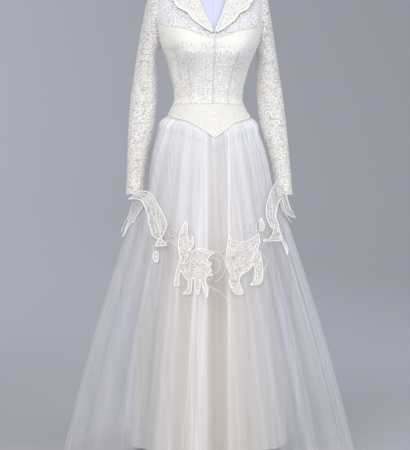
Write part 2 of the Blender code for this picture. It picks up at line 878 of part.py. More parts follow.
def build_leaves(lace, skirts):
    """Each leaf is lowered on to the skirts and the leaves laid before it."""
    trees = [tree_of(made) for made in skirts]
    for name, t0, z0, t1, z1, t2, z2, half_width, squareness, level, flare in sorted(
            LEAVES, key=lambda row: row[9]):
        rows = leaf_places(border, (t0, z0), (t1, z1), (t2, z2), half_width, squareness)
        out = LEAF_START
        for attempt in range(5):
            tops, lows = leaf_faces(border, rows, out, flare)
            out -= room_below(border, rows, lows, trees) - LEAF_SEAT
        tops, lows = leaf_faces(border, rows, out, flare)
        trees.append(tree_of(shell(name, tops, lows, lace)))


def build_cuff_leaves(lace):
    """Small leaf on the front of each wrist."""
    for name, side in (("cuff_leaf_left", 1), ("cuff_leaf_right", -1)):
        tops, lows = [], []
        for share in LEAF_ROWS:
            ring = 8.25 + 1.5 * share
            width = 0.34 * max(math.sin(math.pi * share), 0.0) ** 0.7 + 0.05
            top_row, low_row = [], []
            for column in LEAF_COLUMNS:
                angle = math.radians(90) + width * column
                point = sleeve_point(ring, angle)
                across = sleeve_point(ring, angle + 0.02) - sleeve_point(ring, angle - 0.02)
                down = sleeve_point(ring + 0.02, angle) - sleeve_point(ring - 0.02, angle)
                away = down.cross(across).normalized()
                if away.y > 0:
                    away = -away
                raise_by = 0.8 if abs(column) > 0.5 else 0.0
                low = point + away * LEAF_SEAT
                top = point + away * (LEAF_SEAT + LEAF_NET + raise_by)
                low_row.append(Vector((side * low.x, low.y, low.z)))
                top_row.append(Vector((side * top.x, top.y, top.z)))
            tops.append(top_row)
            lows.append(low_row)
        if side > 0:
            tops = [list(reversed(row)) for row in tops]
            lows = [list(reversed(row)) for row in lows]
        shell(name, tops, lows, lace)


def capped(name, rings, look):
    """Closed body from level rings, top ring first."""
    columns = len(rings[0])
    points = [point for ring in rings for point in ring]
    faces = []
    for r in range(len(rings) - 1):
        for c in range(columns):
            a = r * columns + c
            b = r * columns + (c + 1) % columns
            faces.append((a, a + columns, b + columns, b))
    foot = (len(rings) - 1) * columns
    faces.append(tuple(range(columns)))
    faces.append(tuple(reversed(range(foot, foot + columns))))
    return solid(name, points, faces, look)


def disc_rings(radii, columns):
    rings = []
    for radius, height in radii:
        ring = []
        for step in range(columns):
            angle = 2 * math.pi * step / columns
            ring.append(Vector((radius * math.sin(angle), -radius * math.cos(angle), height)))
        rings.append(ring)
    return rings


def build_form(linen, metal, wood):
    heights = (NECK_TOP, 1446, 1434, 1426, 1414, 1400, 1383, 1350, 1300, 1250, 1205, 1165,
               1145, 1120, 1085, 1050, 1020, 985, 945, FORM_FOOT)
    rings = []
    for height in heights:
        level = min(height, 1499.0)
        ring = []
        for step in range(24):
            turn = 360.0 * step / 24
            point = off(body, turn, level, -FORM_INSET.at(height))
            if height in (NECK_TOP, FORM_FOOT):
                point.z = height
            ring.append(point)
        rings.append(ring)
    capped("dress_form", rings, linen)
    cap = disc_rings(((CAP_RADIUS * 0.7, NECK_TOP + 0.3 + CAP_HEIGHT), (CAP_RADIUS * 0.8,
                     NECK_TOP + 0.3 + CAP_HEIGHT * 0.8), (CAP_RADIUS * 0.8, NECK_TOP + 0.3)), 24)
    for ring in cap:
        for point in ring:
            point.y += 10.0
    capped("form_neck_cap", cap, wood)
    capped("form_pole", disc_rings(((POLE_RADIUS, FORM_FOOT - 0.3),
                                    (POLE_RADIUS, BASE_HEIGHT + 0.3)), 16), metal)
    base = ((BASE_RADIUS - 12, BASE_HEIGHT), (BASE_RADIUS, BASE_HEIGHT - 8), (BASE_RADIUS, 0.0))
    capped("form_base", disc_rings(base, 32), metal)


def main():
    for left_over in list(bpy.data.objects):
        bpy.data.objects.remove(left_over, do_unlink=True)
    lace = material("ivory_lace", (0.86, 0.84, 0.80), 0.65)
    sheer = material("sheer_lace", (0.84, 0.83, 0.84), 0.7)
    corded = material("corded_lace", (0.90, 0.88, 0.82), 0.6)
    tulle = material("tulle", (0.80, 0.80, 0.85), 0.7)
    satin = material("satin", (0.82, 0.79, 0.73), 0.35)
    linen = material("form_cover", (0.88, 0.89, 0.96), 0.8)
    metal = material("stand_metal", (0.6, 0.6, 0.62), 0.35, 1.0)
    wood = material("painted_cap", (0.85, 0.85, 0.87), 0.5)
    build_form(linen, metal, wood)
    build_bodice(lace)
    build_yoke(sheer)
    build_basque(lace)
    build_collar(corded)
    build_sleeves(sheer)
    build_cuff_leaves(corded)
    skirts = build_skirts(satin, tulle)
    build_leaves(corded, skirts)


main()
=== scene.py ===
"""Looks of a long-sleeved wedding dress on a limbless dress form.

The dress is cut from lace, tulle and satin. Every panel is a thin sheet laid over the form
of the packed model, in finer steps. A place on the dress is a turn in degrees round the
Z axis, 0 at the front centre and +90 at the wearer's left, and a height above the floor.
Sizes in the tables are in millimetres; meshes are in metres.
"""
import math
import random

import bpy
import numpy as np
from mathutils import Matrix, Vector
from mathutils.bvhtree import BVHTree
from mathutils.geometry import delaunay_2d_cdt


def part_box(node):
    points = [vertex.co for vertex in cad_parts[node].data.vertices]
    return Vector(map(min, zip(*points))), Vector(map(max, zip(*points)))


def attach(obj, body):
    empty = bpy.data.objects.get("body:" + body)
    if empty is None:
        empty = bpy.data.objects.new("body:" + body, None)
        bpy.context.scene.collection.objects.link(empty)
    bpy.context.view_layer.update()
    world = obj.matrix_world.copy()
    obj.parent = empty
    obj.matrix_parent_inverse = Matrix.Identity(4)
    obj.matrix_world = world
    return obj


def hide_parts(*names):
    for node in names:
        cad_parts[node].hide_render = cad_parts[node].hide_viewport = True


bl_info = {
    "name": "Wedding dress",
    "version": (1, 0, 0),
    "blender": (4, 5, 0),
    "location": "View3D > Sidebar > Dress",
    "description": "Lace, tulle and satin for a wedding dress on a dress form",
    "category": "Object",
}

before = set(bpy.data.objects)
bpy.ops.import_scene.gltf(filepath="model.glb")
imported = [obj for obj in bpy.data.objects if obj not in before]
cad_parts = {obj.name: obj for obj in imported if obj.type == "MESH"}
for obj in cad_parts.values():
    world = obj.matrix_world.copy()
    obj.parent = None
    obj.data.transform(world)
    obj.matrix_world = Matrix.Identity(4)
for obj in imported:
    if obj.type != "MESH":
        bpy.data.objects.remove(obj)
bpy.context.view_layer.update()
MM = 0.001

# Driving sizes of the cut
WAIST_SEAM = 1006.0
UNDERARM = 1174.0
SHOULDER_TIP = 1385.0
ARMHOLE_MIDDLE = (UNDERARM + SHOULDER_TIP) / 2
ARMHOLE_HALF = (SHOULDER_TIP - UNDERARM) / 2
NECK_SIDE = 1434.0
NECK_BACK = 1425.0
YOKE_SEAM_BACK = 1226.0
HEM = 18.0
UNDERSKIRT_HEM = 30.0
BUST_TURN = 33.0
BUST_HEIGHT = 1147.0
BUST_FULLNESS = 20.0
ARMHOLE_TURN = 24.0
FOLD_CREST = 16.0
FOLD_GROWTH = 0.62
CLOTH = 1.0

# Highest level at which the form follows the dress's sections, and the radius at which the
# bodice's creases are measured
FORM_TOP = 1499.0
CREASE_RADIUS = 115.0

# Steps of the fine meshes: between two corners of a panel, and between two rows of the collar
PANEL_STEPS = 8
COLLAR_STEPS = 16

# Tulle: number and height of the thin folds, puff below the basque and how far down it lies,
# how far down the gathers start, and a turn and height on the long front fold's edge
PLEAT_COUNT = 84
PLEAT_RISE = 1.6
PUFF = 6.0
PUFF_DROP = 24.0
GATHER_START = 12.0
FRONT_FOLD_TOP = (13.7, 937.0)

# Tulle at the front: turns of the dense strip, its extra layers, and the thinner hollow
STRIP_LEFT = -16.6
STRIP_RIGHT = -7.9
STRIP_LAYERS = 1.2
HOLLOW_THINNING = 0.42
VEIL_REACH = 60.0

# Outer surface of the dress: height, half width, front, back, squareness of the section
SECTIONS = (
    (1500, 52, 40, 60, 2.0), (1446, 55, 39, 66, 2.0), (1434, 60, 41, 72, 2.0),
    (1426, 84, 48, 80, 2.2), (1414, 112, 55, 88, 2.3), (1400, 138, 60, 95, 2.4),
    (1385, 152, 66, 100, 2.5), (1350, 160, 76, 106, 2.6), (1314, 163, 88, 110, 2.7),
    (1270, 161, 100, 110, 2.7), (1235, 158, 112, 108, 2.6), (1209, 151, 120, 106, 2.4),
    (1174, 140, 122, 103, 2.3), (1150, 130, 120, 99, 2.2), (1128, 121, 112, 96, 2.2),
    (1082, 108, 96, 88, 2.1), (1050, 101, 88, 82, 2.1), (1024, 100, 84, 80, 2.0),
    (998, 110, 90, 84, 2.0), (980, 119, 98, 92, 2.0), (948, 140, 114, 112, 2.0),
    (909, 161, 136, 140, 2.0), (864, 182, 158, 166, 2.0), (784, 207, 184, 196, 2.0),
    (641, 250, 229, 246, 2.0), (473, 300, 281, 300, 2.0), (300, 350, 332, 354, 2.0),
    (150, 390, 373, 396, 2.0), (0, 428, 412, 436, 2.0),
)

# Satin underskirt below the basque: height, half width, front, back
UNDER_SECTIONS = (
    (1000, 98, 79, 73), (980, 109, 88, 82), (965, 117, 94, 90), (948, 125, 100, 99),
    (909, 136, 110, 114), (864, 144, 123, 130), (800, 152, 138, 146), (750, 156, 146, 154),
    (700, 166, 153, 162), (641, 178, 160, 170), (473, 198, 173, 187), (300, 212, 183, 199),
    (150, 221, 191, 207), (0, 228, 198, 214),
)

# How far each skirt layer lies outside the sections: drop below the basque's edge,
# overskirt, tulle skirt
LAYER_OFFSETS = (
    (-20, -3.0, -5.2), (4, -3.0, -5.2), (14, -0.5, -4.6), (40, 1.5, -4.0), (110, 1.0, -6.5),
    (300, 0.0, -8.0), (440, 2.0, -5.0), (640, 4.0, -1.0), (980, 4.0, 0.0),
)

# Sleeve pressing the tulle in at the side: height, depth
SIDE_HOLLOW = (
    (960, 0), (864, 15), (800, 25), (750, 33), (715, 24), (690, 11), (650, 0), (0, 0),
)

# Lower edge of the basque: turn either side of the front, height
BASQUE_EDGE = (
    (0, 905), (11, 926), (28, 951), (60, 968), (90, 981), (125, 981), (155, 972), (180, 958),
)

# Hem of the tulle overskirt: turn either side of the front, height
OVERSKIRT_HEM = (
    (0, 525), (14, 535), (27, 590), (42, 655), (60, 690), (90, 705), (120, 690), (138, 655),
    (153, 595), (166, 545), (180, 532),
)

# Seam between bodice and yoke at the front: turn, height
SWEETHEART = (
    (0, 1188), (12, 1197), (25, 1211), (45, 1222), (70, 1232),
)
FRONT_TURNS = (0.0, 8, 16, 25, 34, 43, 52, 60, 68.6)

# Front neckline from the collar's point to the side of the neck: height, turn
NECKLINE = (
    (1201, 0), (1222, 1.6), (1250, 3.9), (1280, 6.7), (1308, 9.5), (1350, 13.4), (1390, 18.5),
    (1408, 27), (1420, 38), (1428, 58), (1434, 90),
)

# Skirt folds at the hem: turn, half of the fold's spread, height of the crest
FOLDS = (
    (-88, 7, 9), (-75, 8, 17), (-60, 8, 16), (-43, 7, 15), (-28, 7, 17), (-12, 6, 15),
    (-4, 4, -15), (3, 5, 14), (14, 6, 12), (26, 7, 15), (39, 6, 9), (53, 8, 17), (72, 9, 18),
    (88, 7, 9), (104, 9, 16), (122, 9, 14), (140, 9, 17), (158, 9, 14), (176, 9, 16),
    (194, 9, 13), (212, 9, 17), (231, 9, 14), (249, 9, 15),
)

# Underskirt folds at its hem: turn, half of the fold's spread, height of the crest
UNDER_FOLDS = (
    (-80, 15, 10), (-48, 14, 12), (-13, 8, 18), (0.5, 8, -30), (18, 11, 14), (48, 15, 11),
    (80, 15, 10), (112, 15, 12), (145, 15, 11), (180, 16, 13), (215, 15, 12), (248, 15, 11),
)

# Gathers of the tulle below the waist: turns in a round, depth, how far down they reach,
# turn of the first
GATHERS = (
    (21, 2.2, 420, 2.0), (34, 1.9, 300, 1.1), (59, 1.1, 190, 4.4), (97, 0.5, 110, 0.7),
)

# Shaped seams of the bodice's front: height, turn on the wearer's right and left
PRINCESS_SEAMS = (
    (1006, 33, 26.5), (1038, 35, 27), (1082, 35.5, 27.5), (1116, 37, 28.5), (1142, 41, 30),
    (1160, 46, 32),
)

# Creases of the bodice: turn, height, lean, half length, half width, depth
BODICE_CREASES = (
    (17, 1164, 10, 15, 3.0, -1.4), (22, 1166, 8, 17, 3.0, -1.8), (27, 1168, 6, 19, 3.0, -2.0),
    (33, 1168, 2, 18, 3.0, -2.0), (39, 1166, -6, 17, 3.0, -1.9), (45, 1163, -12, 15, 3.0, -1.6),
    (51, 1160, -18, 13, 3.0, -1.3), (33, 1062, -20, 44, 4.0, -1.9),
    (47, 1052, -26, 34, 4.0, -2.0), (62, 1040, -48, 30, 4.0, -2.0),
    (76, 1052, -62, 26, 4.0, -1.7), (18, 1034, -8, 22, 3.5, -1.5), (70, 1120, -58, 30, 5.0, -2.0),
    (55, 1150, -70, 24, 5.0, -1.7),
)

# Hollow beside the shaped seam, deeper on the wearer's right: turn, height, lean, half
# length, half width, depth
RIGHT_HOLLOWS = (
    (-60, 1108, 8, 72, 26, -5.0), (-46, 1090, 12, 50, 9, -1.6),
)

# Creases of the bodice's back: turn either side of the back centre, height, lean, half
# length, half width, depth
BACK_CREASES = (
    (22, 1062, 8, 40, 4.0, -1.0), (40, 1044, 24, 30, 4.0, -1.0), (58, 1040, 44, 28, 4.0, -0.9),
    (66, 1120, 60, 30, 5.0, -0.9),
)

# Creases of the sleeve: ring, angle round the sleeve, half length in rings, half width in
# degrees, depth, lean in degrees for each ring
SLEEVE_CREASES = (
    (1.2, 60, 1.1, 15, -2.6, 18), (1.8, 118, 1.0, 14, -2.2, -14), (3.0, 95, 1.2, 13, -1.9, 10),
    (4.6, 70, 0.8, 14, -2.7, 60), (5.0, 120, 0.8, 13, -2.9, -64), (5.6, 88, 0.9, 12, -2.4, 50),
    (6.4, 60, 0.9, 14, -1.8, -40), (7.6, 100, 0.9, 13, -1.6, 30), (2.0, -80, 1.2, 15, -2.4, 14),
    (4.8, -95, 0.9, 14, -2.9, 52), (5.4, -60, 0.8, 14, -2.4, -58), (7.0, -90, 1.0, 13, -1.8, 24),
)

# Collar, wearer's left: inner turn, inner height, outer turn, outer height
COLLAR_ROWS = (
    (0.2, 1203, 1.2, 1204), (1.3, 1218, 7.8, 1217), (3.1, 1240, 14.3, 1236),
    (5.2, 1264, 20, 1258), (8.1, 1294, 31, 1279), (11, 1328, 38, 1304), (15, 1368, 44, 1336),
    (22, 1400, 53, 1368), (42, 1421, 68, 1392), (90, 1430, 90, 1403), (125, 1429, 122, 1393),
    (152, 1426, 150, 1377), (179.6, 1424, 179.6, 1368),
)
COLLAR_SCALLOPS = 8

# Sleeve rings below the armhole, wearer's left:
# inner x, inner height, outer x, outer height, depth of the middle, half depth
SLEEVE_RINGS = (
    (144, 1168, 167, 1345, 5, 51.5), (147, 1158, 179, 1300, 10, 57),
    (149, 1143, 190, 1245, 18, 56), (147, 1112, 201, 1180, 21, 52),
    (147, 1058, 214, 1095, 20, 48), (150, 1000, 225, 1020, 14, 45), (157, 940, 231, 948, 4, 42),
    (172, 880, 235, 884, -10, 36), (185, 815, 238, 817, -25, 31), (189, 780, 240, 780, -32, 29),
    (191, 751, 242, 749, -38, 27),
)

# Leaves of the overskirt's border: name, foot turn and height, bend turn and height,
# tip turn and height, half width, squareness of the outline, how far the tip flares out
LEAVES = (
    ("leaf_side_right", -67, 716, -88, 698, -77, 627, 33, 0.75, 14),
    ("leaf_sickle_right", -40, 603, -49, 762, -73, 737, 22, 0.80, 34),
    ("leaf_drop_right", -41, 590, -41, 578, -39, 560, 6.5, 0.80, 0),
    ("leaf_tip_right", -19, 571, -31, 604, -24, 675, 13, 0.75, 0),
    ("leaf_horn_right", -14, 590, -19, 606, -19.5, 636, 7, 0.75, 0),
    ("leaf_lobe_right", -19, 588, -28.5, 616, -29, 566, 12, 0.70, 0),
    ("leaf_flower_right", -6, 593, -17, 593, -18.7, 528, 22, 0.60, 0),
    ("leaf_leg_right", -25, 568, -30, 549, -25.5, 496, 8, 0.75, 0),
    ("leaf_finger_outer", -18, 539, -23, 512, -18, 469, 11, 0.65, 0),
    ("leaf_finger_middle", -12.8, 544, -16, 507, -12.9, 470, 10, 0.65, 0),
    ("leaf_finger_inner", -7.4, 560, -11.4, 502, -6.9, 462, 9, 0.70, 0),
    ("leaf_horn_left", 4.9, 572, 3.3, 653, 27, 633, 21, 0.65, 0),
    ("leaf_plume_left", 4.7, 539, 17, 549, 25, 603, 22, 0.70, 0),
    ("leaf_leg_left", 6.8, 548, 7, 501, 11.6, 469, 16, 0.65, 0),
    ("leaf_bract_left", 26, 592, 29.6, 548, 17.3, 495, 11, 0.75, 0),
    ("leaf_bud_left", 29.3, 645, 31.4, 658, 31.5, 680, 6.5, 0.80, 0),
    ("leaf_wing_left", 52, 630, 43, 653, 32, 622, 13, 0.70, 0),
    ("leaf_sickle_left", 40, 641, 62, 692, 60, 768, 18, 0.70, 14),
    ("leaf_frond_left", 41.5, 647, 36.5, 697, 47, 743, 11, 0.75, 0),
    ("leaf_side_left", 73, 736, 76, 704, 75, 668, 20, 0.75, 12),
    ("leaf_tail_left", 47, 622, 53, 610, 50, 580, 6, 0.80, 0),
    ("leaf_back_side_left", 98, 718, 114, 700, 106, 636, 28, 0.75, 8),
    ("leaf_back_sickle_left", 140, 606, 136, 728, 118, 716, 22, 0.75, 0),
    ("leaf_back_flower_left", 164, 585, 152, 604, 150, 548, 22, 0.65, 0),
    ("leaf_back_finger_left", 167, 560, 162, 512, 166, 476, 12, 0.65, 0),
    ("leaf_back_horn_right", 184, 566, 183, 645, 206, 628, 21, 0.65, 0),
    ("leaf_back_leg_right", 186, 540, 186, 500, 191, 470, 15, 0.65, 0),
    ("leaf_back_sickle_right", 220, 610, 232, 724, 244, 720, 21, 0.75, 0),
    ("leaf_back_side_right", 262, 718, 248, 700, 254, 636, 28, 0.75, 8),
)


# Joined net shapes of the border: name, the leaves in each, where the flare starts and
# ends and how far it stands out, and the outline as turns and heights
SHAPES = (
    ("sickle_right", ("leaf_sickle_right",), (-38, -73, 34), (
        (-70.4, 725), (-65.3, 744), (-60.1, 751), (-54.7, 749), (-49.2, 735), (-44.5, 715),
        (-39.9, 693), (-35.4, 663), (-36.3, 641), (-38, 623), (-32.9, 605), (-40.9, 602),
        (-39.9, 620), (-44.5, 632), (-48.4, 659), (-52.5, 689), (-55.9, 712), (-60, 726),
        (-65.1, 729),
    )),
    ("front_right", ("leaf_tip_right", "leaf_horn_right", "leaf_lobe_right", "leaf_flower_right",
                     "leaf_leg_right", "leaf_finger_outer", "leaf_finger_middle",
                     "leaf_finger_inner"), (0, 90, 0), (
        (-22.3, 670), (-20.8, 655), (-20.8, 636), (-19, 617), (-18, 614), (-17, 630),
        (-16.3, 611), (-17.2, 599), (-18.9, 590), (-16.7, 588), (-13.5, 595), (-9.9, 593),
        (-7.4, 587), (-3.7, 584), (-5.9, 579), (-7.4, 572), (-7.9, 562), (-5.7, 556),
        (-6.9, 548), (-5.6, 536), (-7.5, 534), (-5.2, 524), (-8.1, 523), (-9.1, 509),
        (-7.7, 490), (-8.1, 465), (-9.9, 485), (-11.1, 506), (-12.3, 514), (-11.7, 493),
        (-12.7, 471), (-14.3, 493), (-15, 513), (-16.4, 519), (-16.3, 498), (-17, 477),
        (-20.8, 475), (-18.9, 490), (-18.5, 508), (-20.7, 523), (-23, 538), (-23.9, 519),
        (-23.4, 498), (-26.1, 499), (-25.7, 519), (-25.1, 541), (-24.1, 557), (-23.7, 570),
        (-24.6, 586), (-25.5, 605), (-25.5, 627), (-24, 655),
    )),
    ("front_left", ("leaf_horn_left", "leaf_plume_left", "leaf_leg_left", "leaf_bract_left"),
     (0, 90, 0), (
        (5.5, 632), (6.8, 620), (11.1, 613), (17.9, 617), (25.7, 634), (25.6, 613),
        (23.4, 594), (24.5, 578), (24.6, 550), (23.5, 518), (21, 500), (15.4, 497),
        (18.2, 510), (19.6, 534), (19.2, 556), (16.4, 540), (12.8, 529), (10.3, 521),
        (9.5, 503), (11.1, 476), (7.4, 473), (5.1, 487), (4.1, 506), (5, 522), (3.4, 541),
        (2.8, 568), (3.7, 595), (4.7, 614),
    )),
    ("sickle_left", ("leaf_sickle_left", "leaf_frond_left", "leaf_wing_left"), (42, 75, 14), (
        (62.7, 784), (64.4, 773), (68.2, 775), (71.2, 755), (69.9, 726), (71.2, 700),
        (80, 686), (73.3, 678), (64.2, 690), (62.5, 713), (62.8, 736), (54.3, 725),
        (48.6, 702), (46, 681), (46.5, 660), (45.8, 643), (45.5, 617), (28.4, 615),
        (29.4, 619), (33.9, 620), (38.4, 635), (40.5, 646), (37.7, 660), (36.6, 682),
        (38.4, 711), (44.2, 739), (50.8, 765),
    )),
)

# Thin curls of cord laid over the tulle between the net shapes, as turns and heights
CURLS = (
    ((-7.9, 587), (-4.6, 590), (-1.1, 584), (1.3, 569), (2.2, 549), (0.9, 529), (-1.6, 513),
     (-4.5, 506)),
    ((-6.6, 569), (-3.6, 570), (-1.4, 563), (-0.9, 548), (-2, 534), (-4.9, 529)),
    ((-7.7, 496), (-5, 489), (-1.8, 480), (0.8, 468), (2.7, 453)),
    ((-0.6, 585), (1.6, 590), (4, 594)),
    ((25, 628), (23.1, 638), (19.6, 644), (19.4, 657), (21.7, 669), (23.5, 667), (24.4, 655),
     (25.1, 642)),
    ((25, 629), (24.4, 645), (26.1, 664), (27.9, 675), (28.3, 659), (26.5, 642), (25.3, 630)),
    ((24.9, 586), (27, 575), (28, 558), (26.2, 542), (23.8, 533)),
    ((25.2, 611), (28.2, 609), (31.2, 613), (34.6, 619)),
    ((-27.6, 638), (-29.3, 630), (-31.9, 631), (-33.3, 642), (-32.1, 650), (-29.7, 651),
     (-28.6, 644), (-29.9, 639)),
    ((-34.3, 609), (-32.5, 617), (-30.3, 614), (-27.8, 605), (-25.2, 600)),
    ((-6.3, 534), (-5.1, 522), (-6.2, 510), (-7.7, 515)),
    ((172, 569), (178, 578), (180, 560), (176, 545), (170, 540)),
    ((210, 612), (213, 628), (217, 622), (214, 610), (210, 604)),
    ((160, 612), (156, 628), (151, 640), (147, 632), (150, 618)),
)

# Ribs of cord inside the net shapes, as turns and heights
RIBS = {
    "front_left": (
        ((4.3, 601), (7.5, 593), (11.9, 590), (16.5, 596), (21.2, 611), (24.4, 619)),
        ((23.6, 610), (21.1, 591), (19.3, 568), (16.7, 551), (13, 537), (10.4, 526)),
    ),
    "front_right": (
        ((-17.4, 588), (-13.8, 593), (-10.1, 586), (-7.5, 580)),
        ((-24, 565), (-20.7, 554), (-18.2, 565), (-15.7, 556), (-12.7, 565), (-9.7, 557),
         (-7.4, 550)),
    ),
    "sickle_right": (
        ((-59.6, 744), (-53.2, 736), (-47.9, 718), (-45.2, 693), (-42.8, 666), (-39.8, 646),
         (-38.5, 625)),
    ),
    "sickle_left": (),
}


def clamp(value, low=0.0, high=1.0):
    return min(max(value, low), high)


def hermite(start, end, leaving, arriving, s):
    """Smooth step from start to end, with its slopes at both, at a share s of the way."""
    return (
        start * (1 + 2 * s) * (1 - s) ** 2
        + leaving * s * (1 - s) ** 2
        + end * s * s * (3 - 2 * s)
        - arriving * s * s * (1 - s)
    )


class Table:
    """Rows keyed by their first column and read between rows along smooth curves."""

    def __init__(self, rows):
        self.rows = sorted(rows)
        self.keys = [row[0] for row in self.rows]
        self.slopes = [self.column_slopes(column) for column in range(1, len(self.rows[0]))]

    def column_slopes(self, column):
        steps = []
        for low, high in zip(self.rows, self.rows[1:]):
            steps.append((high[column] - low[column]) / (high[0] - low[0]))
        slopes = [steps[0]]
        for before, after in zip(steps, steps[1:]):
            slopes.append(0.0 if before * after <= 0 else 2 * before * after / (before + after))
        slopes.append(steps[-1])
        return slopes

    def at(self, key, column=1):
        key = clamp(key, self.keys[0], self.keys[-1])
        row = 0
        while row < len(self.keys) - 2 and key > self.keys[row + 1]:
            row += 1
        span = self.keys[row + 1] - self.keys[row]
        s = (key - self.keys[row]) / span
        slopes = self.slopes[column - 1]
        return hermite(self.rows[row][column], self.rows[row + 1][column],
                       slopes[row] * span, slopes[row + 1] * span, s)

    def row(self, key):
        return [self.at(key, column) for column in range(1, len(self.rows[0]))]


SECTION = Table(SECTIONS)
# How far the form's cover lies inside the dress: height, depth
FORM_INSET = Table((
    (880, 42.0), (909, 34.0), (948, 24.0), (980, 14.0), (1006, 10.0), (1040, 6.0), (1120, 6.2),
    (1160, 5.0), (1200, 4.0), (1330, 5.5), (1360, 7.6), (1390, 8.4), (1415, 7.6), (1434, 5.0),
    (1446, 4.0), (1500, 3.2),
))
UNDER = Table(UNDER_SECTIONS)
OFFSET = Table(LAYER_OFFSETS)
HOLLOW = Table(SIDE_HOLLOW)
EDGE = Table(BASQUE_EDGE)
OVER_HEM = Table(OVERSKIRT_HEM)
SWEET = Table(SWEETHEART)
NECK = Table(NECKLINE)
PRINCESS = Table(PRINCESS_SEAMS)
COLLAR = Table([(row_number,) + row for row_number, row in enumerate(COLLAR_ROWS)])
SLEEVE = Table([(row_number,) + row for row_number, row in enumerate(SLEEVE_RINGS)])


# Form of the dress


def wrapped(turn):
    """The same turn between -180 and 180."""
    return (turn + 180.0) % 360.0 - 180.0


def off_front(turn):
    """Turn either side of the front centre, 0 to 180."""
    return abs(wrapped(turn))


def section_point(turn, half_width, front, back, squareness, height):
    """Point of one level section, a rounded oval."""
    angle = math.radians(turn)
    power = 2.0 / squareness
    side = math.copysign(abs(math.sin(angle)) ** power, math.sin(angle))
    ahead = math.copysign(abs(math.cos(angle)) ** power, math.cos(angle))
    middle = (back - front) / 2
    depth = (back + front) / 2
    return Vector((half_width * side, middle - depth * ahead, height))


def body(turn, height):
    """Outer surface of the dress without folds, with the fullness of the bust."""
    point = section_point(turn, *SECTION.row(height), height)
    rise_to = (height - BUST_HEIGHT) / (50.0 if height > BUST_HEIGHT else 40.0)
    sideways = (off_front(turn) - BUST_TURN) / 19.0
    if off_front(turn) < 100:
        point.y -= BUST_FULLNESS * math.exp(-rise_to * rise_to - sideways * sideways)
    return point


def normal(surface, turn, height):
    across = surface(turn + 0.4, height) - surface(turn - 0.4, height)
    upward = surface(turn, height + 0.8) - surface(turn, height - 0.8)
    return across.cross(upward).normalized()


def off(surface, turn, height, out):
    """Point of a surface moved out along its normal."""
    return surface(turn, height) + normal(surface, turn, height) * out


def bump(distance):
    if abs(distance) >= 1:
        return 0.0
    return 0.5 + 0.5 * math.cos(math.pi * distance)


def folds(turn, rows):
    """Height of the folds at the hem for a turn."""
    total = 0.0
    for centre, spread, crest in rows:
        total += crest * bump(wrapped(turn - centre) / spread)
    return total


def growth(turn, height):
    """Share of the full fold, nothing at the basque's edge and all of it at the hem."""
    edge = EDGE.at(off_front(turn))
    share = (edge - height) / (edge - HEM)
    return max(share, 0.0) ** FOLD_GROWTH


def outward(point):
    level = Vector((point.x, point.y, 0.0))
    return level.normalized()


def bridged_folds(turn):
    """Folds as stiff lace rides over them, its hollows filled in."""
    return max(folds(turn + away, FOLDS) - 0.12 * away * away for away in range(-12, 13, 2))


def gathers(turn, drop):
    """Fine uneven gathers that die out down the tulle."""
    total = 0.0
    for count, depth, reach, first in GATHERS:
        wander = 0.6 * math.sin(math.radians(3 * turn) + first) + 0.4 * math.sin(math.radians(7 * turn))
        wave = math.sin(math.radians(count * (turn - first)) + 2.2 * wander)
        length = reach * (1.0 + 0.45 * math.sin(math.radians(5 * turn) + 2 * first))
        total += depth * wave * math.exp(-max(drop, 0.0) / length)
    return total * clamp(drop / GATHER_START)


def front_fold(height):
    """Turn of the long fold's edge that drops almost straight from the basque."""
    return FRONT_FOLD_TOP[0] * (max(height, 0.0) / FRONT_FOLD_TOP[1]) ** 2.2


def pleat_rows(layer):
    """Thin folds of one skirt: turn, half width, strength, drift, share of the way down at
    which it starts, and bow."""
    chance = random.Random(40 + layer)
    rows = []
    for centre, _, crest in FOLDS:
        if crest > 0:
            rows.append((centre + chance.uniform(-1.0, 1.0), chance.uniform(1.0, 2.2),
                         chance.uniform(0.2, 0.5), 0.0, chance.uniform(0.2, 0.5),
                         chance.uniform(-0.8, 0.8)))
    for number in range(PLEAT_COUNT):
        turn = -90 + 360.0 * (number + chance.uniform(-0.6, 0.6)) / PLEAT_COUNT
        rows.append((turn, chance.uniform(0.5, 2.0), chance.uniform(0.05, 0.42),
                     chance.uniform(-5.0, 5.0), chance.uniform(0.0, 0.6),
                     chance.uniform(-1.6, 1.6)))
    return rows


PLEATS = {layer: pleat_rows(layer) for layer in (1, 2)}


def pleated(turn, height, layer):
    """How strongly the tulle doubles over itself in thin folds at a place."""
    total = 0.0
    edge = EDGE.at(off_front(turn))
    share = clamp((edge - height) / (edge - HEM))
    for centre, half_width, strength, drift, start, bow in PLEATS[layer]:
        middle = centre + drift * (1 - share) + bow * math.sin(3.0 * share + centre)
        away = wrapped(turn - middle)
        if abs(away) < half_width:
            shown = clamp((share - start) / 0.12 + 1.0)
            total += strength * shown * bump(away / half_width)
    return total


def veil(turn, height):
    """Share of the even tulle at a place: a hollow at the front, with a denser strip beside it."""
    away = wrapped(turn)
    if abs(away) > VEIL_REACH:
        return 1.0
    hollow = clamp((away - STRIP_RIGHT) / 0.7) * clamp((front_fold(height) - away) / 0.5)
    edge = 1.1 * bump((away - front_fold(height) - 0.45) / 0.8)
    strip = clamp((away - STRIP_LEFT) / 0.5) * clamp((STRIP_RIGHT - away) / 0.4)
    strip *= STRIP_LAYERS * clamp((800.0 - height) / 400.0)
    return 1.0 - HOLLOW_THINNING * hollow + edge + strip


